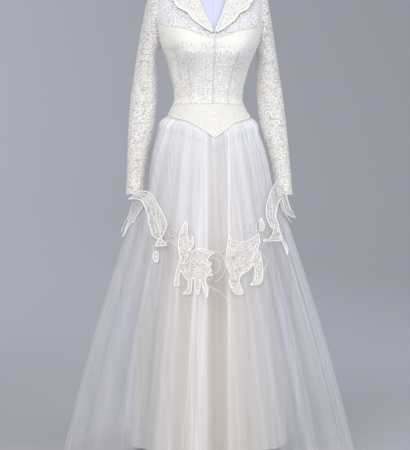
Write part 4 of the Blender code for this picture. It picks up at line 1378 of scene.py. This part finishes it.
class DRESS_OT_bodice_seams(bpy.types.Operator):
    """Edge of the front opening and the waist seam's fine piping"""

    bl_idname = "dress.bodice_seams"
    bl_label = "Bodice seams"

    def execute(self, context):
        looks = context.scene.dress_lace_looks
        # The seam cords' darker colour is partly painted shade of the creases beside the seams.
        cord = cord_finish("seam_finish", looks.edge)
        seams = Strands(6)
        heights = np.linspace(WAIST_SEAM + 1, 1186.0, 60)
        seams.lay([off(body, 1.1, h, 0.25) for h in heights], 0.75)
        seams.lay([off(body, turn, WAIST_SEAM, 0.1) for turn in np.arange(0, 360, 2.0)], 0.8, closed=True)
        for side in (1, -1):
            path = [off(body, side * turn, SWEET.at(turn), 0.2) for turn in np.linspace(0.5, 68.0, 60)]
            seams.lay(path, 0.8)
            heights = np.linspace(WAIST_SEAM + 1, PRINCESS.keys[-1], 50)
            turns = [side * PRINCESS.at(h, 2 if side > 0 else 1) for h in heights]
            seams.lay([off(front_panel, turn, h, 0.3) for turn, h in zip(turns, heights)], 1.2)
        dress(seams.made("bodice_seam_edges", cord), "ivory_lace")
        return {"FINISHED"}


class DRESS_OT_yoke(bpy.types.Operator):
    """Sheer yoke over the shoulders"""

    bl_idname = "dress.yoke"
    bl_label = "Yoke"

    def execute(self, context):
        looks = context.scene.dress_lace_looks
        lace = lace_finish("yoke_lace_finish", looks, looks.thread, looks.yoke, 0.95, 0.48)
        k, runs = PANEL_STEPS, 7
        bottom = [(turn, SWEET.at(turn)) for turn, _ in joined([(t, 0.0) for t in FRONT_TURNS], k)]
        heights = [bottom[0][1], 1201, 1255, 1310, 1365, 1402, 1422]
        neck = [(NECK.at(h), h) for _, h in joined([(0.0, h) for h in heights], k)]
        neck += line(neck[-1], (90.0, NECK_SIDE), k)[1:]
        arm = rise(bottom[-1][1], SHOULDER_TIP, runs * k)
        arm[-1] = (90.0, SHOULDER_TIP)
        bottom[-1] = arm[0]
        top = joined([(90.0, h) for h in (NECK_SIDE, 1427, 1417, 1403, SHOULDER_TIP)], k)
        grid = patch(bottom, top, neck, arm, 8 * k + 1, runs * k + 1)
        options = (body, 0, lace, "sheer_lace", "stretched")
        panel_pair("yoke_front", grid, *options, sheer=True)

        arm = rise(YOKE_SEAM_BACK, SHOULDER_TIP, runs * k, back=True)
        arm[-1] = (90.0, SHOULDER_TIP)
        far = [(360 - turn, height) for turn, height in arm]
        shoulder = [(90.0, h) for h in (SHOULDER_TIP, 1403, 1417, 1427, NECK_SIDE)]
        nape = [(turn, NECK_SIDE + (NECK_BACK - NECK_SIDE) * math.sin(math.radians(turn - 90)))
                for turn in (115, 138, 160, 180, 200, 222, 245)]
        top = joined(shoulder + nape + [(360 - t, h) for t, h in reversed(shoulder)], k)
        grid = patch(line(arm[0], far[0], 10), top, arm, far, 16 * k + 1, runs * k + 1)
        panel_piece("yoke_back", grid, *options, sheer=True)
        return {"FINISHED"}


class DRESS_OT_basque(bpy.types.Operator):
    """Pointed basque with a piping along its lower edge"""

    bl_idname = "dress.basque"
    bl_label = "Basque"

    def execute(self, context):
        looks = context.scene.dress_lace_looks
        thread = [c * 0.87 for c in looks.thread]
        lace = lace_finish("basque_lace_finish", looks, thread, looks.basque)
        for part, start in HALVES:
            grid = []
            for share in np.linspace(0.0, 1.0, 25):
                row = []
                for turn in np.linspace(start, start + 180.0, 181):
                    height = WAIST_SEAM + (EDGE.at(off_front(turn)) - WAIST_SEAM) * share
                    row.append((turn, height))
                grid.append(row)
            panel_piece("basque_" + part, grid, body, CLOTH, lace, "ivory_lace", "stretched")
        piping = Strands(8)
        path = [off(body, turn, EDGE.at(off_front(turn)) + 1.2, 0.3) for turn in np.arange(0, 360, 1.0)]
        piping.lay(path, 1.5, closed=True)
        dress(piping.made("basque_piping", cord_finish("piping_finish", looks.thread)), "ivory_lace")
        return {"FINISHED"}


class DRESS_OT_collar(bpy.types.Operator):
    """Wing collar with a corded scalloped edge"""

    bl_idname = "dress.collar"
    bl_label = "Collar"

    def execute(self, context):
        looks = context.scene.dress_lace_looks
        thread = [c * 0.9 for c in looks.thread]
        lace = lace_finish("collar_lace_finish", looks, thread, looks.collar)
        cord = cord_finish("collar_cord_finish", looks.cord)
        rows = len(COLLAR_ROWS) - 1
        steps = rows * COLLAR_STEPS
        lift = Table(((0.0, 0.9), (0.45, 2.9), (0.88, 4.6), (1.0, 5.2)))
        shares = np.linspace(0.0, 1.0, 17)
        for name, side in (("collar_left", 1), ("collar_right", -1)):
            grid = [[] for _ in shares]
            for step in range(steps + 1):
                key = rows * step / steps
                corners = COLLAR.row(key)
                inner, outer = Vector(corners[:2]), Vector(corners[2:])
                lobe = abs(math.sin(math.pi * COLLAR_SCALLOPS * step / steps))
                reach = 0.93 + 0.09 * math.sqrt(lobe)
                rise_out = 2.2 * min(step / (4.5 * COLLAR_STEPS), 1.0)
                for row, share in zip(grid, shares):
                    place = inner + (outer - inner) * reach * share
                    row.append(off(body, side * place.x, place.y, lift.at(share) + rise_out))
            if side < 0:
                grid = [list(reversed(row)) for row in grid]
            made = dress(sheet("lace_" + name, grid, lace), "corded_lace", name)
            edging = Strands(8)
            edging.lay(grid[-1], 2.5)
            edging.lay(grid[0], 0.9)
            corded = dress(edging.made("cord_" + name, cord), "corded_lace")
            declare(grid, "laid")
        return {"FINISHED"}


def sleeve_grid():
    """Fine grid of the left sleeve from the armhole to the wrist."""
    columns = 96
    angles = [2 * math.pi * c / columns for c in range(columns)]
    grid = []
    for share in (0.0, 0.34, 0.67):
        row = []
        for angle in angles:
            row.append(armhole_point(angle).lerp(sleeve_point(0, angle), share))
        grid.append(row)
    for ring in [step / 10 for step in range(10 * (len(SLEEVE_RINGS) - 1) + 1)]:
        row = []
        for angle in angles:
            point = sleeve_point(ring, angle)
            centre = (point + sleeve_point(ring, angle + math.pi)) / 2
            depth = 0.0
            for at_ring, at_angle, long, wide, deep, lean in SLEEVE_CREASES:
                away = wrapped(math.degrees(angle) - at_angle - lean * (ring - at_ring))
                depth += deep * bump((ring - at_ring) / long) * bump(away / wide)
            row.append(point + (point - centre).normalized() * depth)
        grid.append(row)
    return grid


class DRESS_OT_sleeves(bpy.types.Operator):
    """Long sheer sleeves"""

    bl_idname = "dress.sleeves"
    bl_label = "Sleeves"

    def execute(self, context):
        looks = context.scene.dress_lace_looks
        lace = lace_finish("sleeve_lace_finish", looks, looks.thread, looks.net, 0.9, 0.5, seam=True)
        left = sleeve_grid()
        right = [[Vector((-p.x, p.y, p.z)) for p in reversed(row)] for row in left]
        for name, grid in (("sleeve_left", left), ("sleeve_right", right)):
            closed = [row + [row[0]] for row in grid]
            count = len(grid[0])
            round_it = [bump((c - count / 2) / 2.4) for c in range(count + 1)]
            made = sheet("lace_" + name, closed, lace, upright_places(closed),
                         {"seam": round_it * len(closed)})
            dress(made, "sheer_lace", name)
            hem = Strands(6)
            hem.lay(grid[-1], 0.9, closed=True)
            hem.lay(grid[0], 0.8, closed=True)
            trim = cord_finish("sleeve_hem_finish_" + name, looks.thread)
            hems = dress(hem.made("hem_" + name, trim), "sheer_lace")
            declare(grid, "hung", tube=True)
        return {"FINISHED"}


HALVES = (("front", -90.0), ("back", 90.0))


def hanging_places(start, columns, rows, above, hem):
    """Rows of places on half a skirt, from some way above the basque's edge to the hem."""
    turns = np.linspace(start, start + 180.0, columns + 1)
    tops = [EDGE.at(off_front(turn)) + above for turn in turns]
    places = []
    for row in range(rows + 1):
        places.append([(turn, top + (hem(turn) - top) * row / rows) for turn, top in zip(turns, tops)])
    return places


class DRESS_OT_underskirt(bpy.types.Operator):
    """Satin underskirt"""

    bl_idname = "dress.underskirt"
    bl_label = "Underskirt"

    def execute(self, context):
        looks = context.scene.dress_skirt_looks
        satin = satin_finish("satin_finish", looks)
        for part, start in HALVES:
            places = hanging_places(start, looks.columns // 3, 60, 7, lambda turn: UNDERSKIRT_HEM)
            grid = [[underskirt(turn, height) for turn, height in row] for row in places]
            # Painted shade mask: nothing at the front, rising to full towards the sides.
            painted_shade = [clamp((off_front(turn + 5.0) - 10.0) / 38.0) for turn, _ in places[0]]
            name = "underskirt_" + part
            made = sheet("satin_" + name, grid, satin, attributes={"painted_shade": painted_shade * len(grid)})
            dress(made, "satin", name)
            declare(grid, "hung")
        return {"FINISHED"}


def fold_layers(grid, places, layer, fullness):
    """How many times its own cover the tulle has at each point, from gathers and folds."""
    waist = sum((b - a).length for a, b in zip(grid[0], grid[0][1:]))
    values = []
    for row, row_places in zip(grid, places):
        around = sum((b - a).length for a, b in zip(row, row[1:]))
        packed = 0.85 + (fullness - 0.85) * (waist / around) ** 2.8
        for c, point in enumerate(row):
            ahead = row[min(c + 1, len(row) - 1)] - row[max(c - 1, 0)]
            out = outward(point)
            steep = abs(ahead.x * out.x + ahead.y * out.y) / max(ahead.length, 1e-6)
            flank = 1.0 / math.sqrt(max(1.0 - steep * steep, 0.06))
            turn, height = row_places[c]
            doubled = 1.0 + 1.6 * pleated(turn, height, layer)
            shown = veil(turn, height)
            if layer == 1:
                shown *= min(0.3 + (height - OVER_HEM.at(off_front(turn))) / 160.0, 1.0)
            values.append(packed * shown * doubled * (1.0 + 1.5 * (flank - 1.0)))
    return values


class DRESS_OT_tulle(bpy.types.Operator):
    """Tulle skirt and the overskirt above it"""

    bl_idname = "dress.tulle"
    bl_label = "Tulle skirts"

    def execute(self, context):
        looks = context.scene.dress_skirt_looks
        plans = (("tulle_skirt", 2, lambda turn: HEM, 96),
                 ("overskirt", 1, lambda turn: OVER_HEM.at(off_front(turn)), 60))
        for name, layer, hem, rows in plans:
            tulle = tulle_finish(name + "_finish", looks)
            for part, start in HALVES:
                places = hanging_places(start, looks.columns // 2, rows, 6, hem)
                grid = [[skirt(turn, height, layer) for turn, height in row] for row in places]
                layers = fold_layers(grid, places, layer, looks.gathered)
                node = name + "_" + part
                made = sheet("net_" + node, grid, tulle, attributes={"layers": layers})
                dress(made, "tulle", node)
                declare(grid, "gathered")
        return {"FINISHED"}


def leaf_grid(leaf, rows, columns):
    """Places of a border leaf: (turn, height, share of its length, column from -1 to 1)."""
    _, t0, z0, t1, z1, t2, z2, half_width, squareness, _ = leaf
    height = (z0 + z2) / 2
    radius = (border(t1, height).xy).length

    def flat(turn, z):
        return Vector((math.radians(turn) * radius, z))

    start, middle, end = flat(t0, z0), flat(t1, z1), flat(t2, z2)
    places = []
    for row in range(rows + 1):
        share = row / rows
        spine = start * (1 - share) ** 2 + middle * 2 * share * (1 - share) + end * share * share
        heading = (middle - start) * (1 - share) + (end - middle) * share
        sideways = Vector((heading.y, -heading.x)).normalized()
        width = half_width * max(math.sin(math.pi * share), 0.0) ** squareness + 1.6
        line_of = []
        for c in range(columns + 1):
            column = 2.0 * c / columns - 1.0
            place = spine + sideways * width * column
            line_of.append((math.degrees(place.x / radius), place.y, share, column))
        places.append(line_of)
    return places


# How far outside the border a leaf's solid is looked for
RAY_LENGTH = 90.0


def leaf_lift(node, places, flare):
    """How far the solid's inner face lies off the border at the middle of the leaf."""
    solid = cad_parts[node]
    points = [vertex.co / MM for vertex in solid.data.vertices]
    tree = BVHTree.FromPolygons(points, [tuple(face.vertices) for face in solid.data.polygons])
    lifts = []
    for row in places[len(places) // 4: -len(places) // 4]:
        turn, height, share, _ = row[len(row) // 2]
        out = normal(border, turn, height)
        start = border(turn, height) + out * RAY_LENGTH
        found = tree.ray_cast(start, -out)
        if found[3] is not None:
            lifts.append(RAY_LENGTH - found[3] - flare * share * share)
    return sum(lifts) / len(lifts) if lifts else 3.0


def rounded(corners, steps):
    """Closed curve through corner points that stays sharp where it turns back."""
    count = len(corners)
    slopes = []
    for i in range(count):
        before = corners[i] - corners[i - 1]
        after = corners[(i + 1) % count] - corners[i]
        bend = max(0.5 + 0.5 * before.normalized().dot(after.normalized()), 0.0)
        slopes.append((before + after) * 0.5 * bend)
    curve = []
    for i in range(count):
        j = (i + 1) % count
        for step in range(steps):
            s = step / steps
            curve.append(hermite(corners[i], corners[j], slopes[i], slopes[j], s))
    return curve


def run_through(places, steps):
    """Open smooth curve through places."""
    corners = [Vector(place) for place in places]
    curve = []
    for i in range(len(corners) - 1):
        start, end = corners[i], corners[i + 1]
        leaving = (end - corners[max(i - 1, 0)]) / 2
        arriving = (corners[min(i + 2, len(corners) - 1)] - start) / 2
        for step in range(steps):
            curve.append(hermite(start, end, leaving, arriving, step / steps))
    return curve + [corners[-1]]


def inside(place, outline):
    found = False
    for a, b in zip(outline, outline[1:] + outline[:1]):
        if (a.y > place.y) != (b.y > place.y):
            if place.x < a.x + (b.x - a.x) * (place.y - a.y) / (b.y - a.y):
                found = not found
    return found


class Shape:
    """Flat net shape laid over the border of the overskirt."""

    net_step = 6.0

    def __init__(self, nodes, flare, corners):
        middle = sum(height for _, height in corners) / len(corners)
        self.radius = border(corners[0][0], middle).xy.length
        self.flare = flare
        self.outline = rounded([self.flat(turn, height) for turn, height in corners], 5)
        self.samples = []
        for row in LEAVES:
            if row[0] in nodes:
                places = leaf_grid(row, 8, 2)
                lift = leaf_lift(row[0], places, row[-1])
                self.samples += [(self.flat(p[1][0], p[1][1]), lift) for p in places]

    def flat(self, turn, height):
        return Vector((math.radians(turn) * self.radius, height))

    def laid(self, place, above=0.0):
        """Point over the border for a place on the flat shape."""
        turn = math.degrees(place.x / self.radius)
        shares = [(1.0 / ((place - at).length_squared + 40.0), lift) for at, lift in self.samples]
        lift = sum(share * lift for share, lift in shares) / sum(share for share, _ in shares)
        start, end, amount = self.flare
        share = clamp((turn - start) / (end - start))
        return off(border, turn, place.y, lift + above + amount * share * share)

    def runs_inside(self, places):
        """Longer parts of a line of (turn, height) places that lie inside the outline."""
        runs = [[]]
        for turn, height in places:
            place = self.flat(turn, height)
            if inside(place, self.outline):
                runs[-1].append(self.laid(place, 0.3))
            else:
                runs.append([])
        return [run for run in runs if len(run) > 4]

    def cut(self, size, area):
        """Flat width and length in metres; a thin bent shape counts as a strip of its length."""
        width, length = size.x * MM, size.y * MM
        if area < 0.35 * width * length:
            length = sum((b - a).length for a, b in zip(self.outline, self.outline[1:])) * MM / 2
            width = area / length * 1.25
        return round(width, 4), round(length, 4)

    def net(self, name, look):
        """Sheet filled in between the outline's points."""
        low = Vector((min(p.x for p in self.outline), min(p.y for p in self.outline)))
        high = Vector((max(p.x for p in self.outline), max(p.y for p in self.outline)))
        places = list(self.outline)
        step = self.net_step
        for r in range(int((high.y - low.y) / step) + 1):
            for c in range(int((high.x - low.x) / step) + 1):
                place = low + Vector((c * step + step / 2 * (r % 2), r * step))
                near = min((place - at).length_squared for at in self.outline)
                if near > 6.0 and inside(place, self.outline):
                    places.append(place)
        count = len(self.outline)
        places, _, faces, *_ = delaunay_2d_cdt(places, [], [list(range(count))], 1, 0.01)
        points = [self.laid(place) for place in places]
        faces = [tuple(face) for face in faces]
        area = 0.0
        for a, b, c in faces:
            area += (points[b] - points[a]).cross(points[c] - points[a]).length / 2
        made = add_mesh(name, points, faces, [look], [(p.x * MM, p.y * MM) for p in places])
        return made, high - low, area


class DRESS_OT_border_shapes(bpy.types.Operator):
    """Large joined shapes of corded net at the front of the overskirt"""

    bl_idname = "dress.border_shapes"
    bl_label = "Border shapes"

    def execute(self, context):
        looks = context.scene.dress_lace_looks
        net = lace_finish("border_net_finish", looks, looks.thread, looks.leaf, 0.6, 0.2)
        cord = cord_finish("border_cord_finish", looks.cord)
        radius = looks.cord_radius / MM
        for name, nodes, flare, corners in SHAPES:
            shape = Shape(nodes, flare, corners)
            made, size, area = shape.net("lace_" + name, net)
            dress(made, "corded_lace", *nodes)
            cords = Strands(8)
            cords.lay([shape.laid(place, 0.4) for place in shape.outline], radius, closed=True)
            for rib in RIBS[name]:
                places = [shape.flat(*place) for place in run_through(rib, 8)]
                cords.lay([shape.laid(place, 0.3) for place in places], radius * 0.7)
            for row in LEAVES:
                if row[0] in nodes:
                    places = leaf_grid(row, 24, 2)
                    for column in (0, 1, 2):
                        for run in shape.runs_inside([line_of[column][:2] for line_of in places]):
                            cords.lay(run, radius * 0.4)
            corded = dress(cords.made("cord_" + name, cord), "corded_lace")
            area *= MM * MM
            shape.cut(size, area)
        return {"FINISHED"}


class DRESS_OT_curls(bpy.types.Operator):
    """Thin curls of cord between the shapes of the border"""

    bl_idname = "dress.curls"
    bl_label = "Curls of the border"

    def execute(self, context):
        looks = context.scene.dress_lace_looks
        curls = Strands(6)
        for places in CURLS:
            path = [off(border, turn, height, 3.0) for turn, height in run_through(places, 8)]
            curls.lay(path, looks.cord_radius / MM * 0.55)
        dress(curls.made("cord_curls", cord_finish("curl_finish", looks.curl)), "corded_lace")
        return {"FINISHED"}


def corded_leaf(name, grid, net, cord, radius, ribbed=True):
    """Net leaf with a cord round its edge and along its middle."""
    made = dress(sheet("lace_" + name, grid, net), "corded_lace", name)
    cords = Strands(8)
    left = [points[0] for points in grid]
    right = [points[-1] for points in grid]
    cords.lay(left + list(reversed(right)), radius, closed=True)
    if ribbed:
        middle = len(grid[0]) // 2
        cords.lay([points[middle] for points in grid[1:-3]], radius * 0.7)
    corded = dress(cords.made("cord_" + name, cord), "corded_lace")
    declare(grid, "laid")


class DRESS_OT_border(bpy.types.Operator):
    """Corded lace leaves round the overskirt's hem"""

    bl_idname = "dress.border"
    bl_label = "Border of leaves"

    def execute(self, context):
        looks = context.scene.dress_lace_looks
        net = lace_finish("leaf_net_finish", looks, looks.thread, looks.leaf, 0.6, 0.2)
        cord = cord_finish("leaf_cord_finish", looks.cord)
        radius = looks.cord_radius / MM
        joined_up = [node for shape in SHAPES for node in shape[1]]
        for row in LEAVES:
            name, flare = row[0], row[-1]
            if name in joined_up:
                continue
            places = leaf_grid(row, 36, 12)
            lift = leaf_lift(name, places, flare)
            grid = []
            for line_of in places:
                grid.append([off(border, turn, height, lift + flare * share * share)
                             for turn, height, share, _ in line_of])
            corded_leaf(name, grid, net, cord, radius)
        return {"FINISHED"}


class DRESS_OT_cuff_leaves(bpy.types.Operator):
    """Small corded leaf on the front of each wrist"""

    bl_idname = "dress.cuff_leaves"
    bl_label = "Cuff leaves"

    def execute(self, context):
        looks = context.scene.dress_lace_looks
        net = lace_finish("cuff_net_finish", looks, looks.thread, looks.leaf, 0.95, 0.6)
        cord = cord_finish("cuff_cord_finish", looks.cord)
        for name, side in (("cuff_leaf_left", 1), ("cuff_leaf_right", -1)):
            grid = []
            for step in range(25):
                share = step / 24
                ring = 8.25 + 1.5 * share
                width = 0.34 * max(math.sin(math.pi * share), 0.0) ** 0.7 + 0.05
                points = []
                for column in np.linspace(-1.0, 1.0, 9):
                    angle = math.radians(90) + width * column
                    point = sleeve_point(ring, angle)
                    point.y -= 1.6
                    points.append(Vector((side * point.x, point.y, point.z)))
                grid.append(points)
            radius = looks.cord_radius / MM
            corded_leaf(name, grid, net, cord, radius, ribbed=False)
        return {"FINISHED"}


# Lights: name, place, what it faces, side in metres, whose power it shares, share, colour
LIGHTS = (
    ("key_light", (-1.8, -3.4, 2.9), (0, 0, 0.9), 2.4, "key_power", 1.0, (1.0, 0.985, 0.96)),
    ("fill_light", (3.0, -2.6, 1.8), (0, 0, 0.8), 2.4, "fill_power", 1.0, (0.95, 0.97, 1.0)),
    ("paper_light", (-2.6, 3.6, 4.0), (-1.0, 7.6, 1.8), 2.4, "key_power", 0.66, (0.97, 0.98, 1.0)),
    ("back_light", (1.8, 3.6, 2.8), (0, 0, 0.9), 2.0, "fill_power", 0.45, (0.97, 0.98, 1.0)),
)


def soft_light(name, place, aim, size, power, colour):
    light = bpy.data.lights.new(name, "AREA")
    light.shape = "RECTANGLE"
    light.size = size
    light.size_y = size
    light.energy = power
    light.color = colour
    made = bpy.data.objects.new(name, light)
    bpy.context.scene.collection.objects.link(made)
    made.location = place
    made.rotation_euler = (Vector(aim) - Vector(place)).to_track_quat("-Z", "Y").to_euler()


class DRESS_OT_stage(bpy.types.Operator):
    """Seamless backdrop, soft lights and the camera"""

    bl_idname = "dress.stage"
    bl_label = "Stage"

    def execute(self, context):
        looks = context.scene.dress_stage_looks
        half, wall, bend = 11.0, 7.6, 4.4
        profile = [(-half, 0.0)] + quarter_round(wall - bend, bend, bend, -bend, 16) + [(wall, 9.0)]
        points = []
        for y, z in profile:
            points += [Vector((-half / MM, y / MM, z / MM)), Vector((half / MM, y / MM, z / MM))]
        faces = [(2 * i, 2 * i + 1, 2 * i + 3, 2 * i + 2) for i in range(len(profile) - 1)]
        paper = add_mesh("backdrop", points, faces, [backdrop_finish("backdrop_finish", looks.backdrop)])

        world = bpy.data.worlds.new("studio")
        world.use_nodes = True
        ambient = world.node_tree.nodes["Background"]
        ambient.inputs["Color"].default_value = (0.93, 0.94, 1.0, 1.0)
        ambient.inputs["Strength"].default_value = looks.sky
        context.scene.world = world
        for name, place, aim, size, source, share, colour in LIGHTS:
            soft_light(name, place, aim, size, getattr(looks, source) * share, colour)

        camera = bpy.data.cameras.new("camera")
        camera.lens = looks.lens
        camera.dof.use_dof = False
        made = bpy.data.objects.new("camera", camera)
        context.scene.collection.objects.link(made)
        ahead = Vector((-math.sin(looks.azimuth), math.cos(looks.azimuth), 0.0))
        right = Vector((math.cos(looks.azimuth), math.sin(looks.azimuth), 0.0))
        made.location = right * looks.aside - ahead * looks.distance
        made.location.z = looks.camera_height
        made.rotation_euler = (math.radians(90), 0.0, looks.azimuth)
        context.scene.camera = made
        context.scene.view_settings.view_transform = "Standard"
        context.scene.cycles.transparent_max_bounces = 32
        return {"FINISHED"}


PIECES = (
    DRESS_OT_stage,
    DRESS_OT_form,
    DRESS_OT_stand,
    DRESS_OT_bodice,
    DRESS_OT_bodice_seams,
    DRESS_OT_yoke,
    DRESS_OT_basque,
    DRESS_OT_collar,
    DRESS_OT_sleeves,
    DRESS_OT_underskirt,
    DRESS_OT_tulle,
    DRESS_OT_border_shapes,
    DRESS_OT_curls,
    DRESS_OT_border,
    DRESS_OT_cuff_leaves,
)
GROUPS = {
    "dress_lace_looks": LaceLooks,
    "dress_skirt_looks": SkirtLooks,
    "dress_form_looks": FormLooks,
    "dress_stage_looks": StageLooks,
}


class DRESS_PT_pieces(bpy.types.Panel):
    """Buttons for the pieces and their sizes and colours"""

    bl_label = "Wedding dress"
    bl_idname = "DRESS_PT_pieces"
    bl_space_type = "VIEW_3D"
    bl_region_type = "UI"
    bl_category = "Dress"

    def draw(self, context):
        for operator in PIECES:
            self.layout.operator(operator.bl_idname)
        for label, group in GROUPS.items():
            box = self.layout.box()
            box.label(text=group.__doc__)
            for name in group.__annotations__:
                box.prop(getattr(context.scene, label), name)


def register():
    for label, group in GROUPS.items():
        bpy.utils.register_class(group)
        setattr(bpy.types.Scene, label, bpy.props.PointerProperty(type=group))
    for operator in PIECES:
        bpy.utils.register_class(operator)
    bpy.utils.register_class(DRESS_PT_pieces)


def unregister():
    bpy.utils.unregister_class(DRESS_PT_pieces)
    for operator in reversed(PIECES):
        bpy.utils.unregister_class(operator)
    for label, group in GROUPS.items():
        delattr(bpy.types.Scene, label)
        bpy.utils.unregister_class(group)


def main():
    register()
    for operator in PIECES:
        family, action = operator.bl_idname.split(".")
        getattr(getattr(bpy.ops, family), action)()


if __name__ == "__main__":
    main()
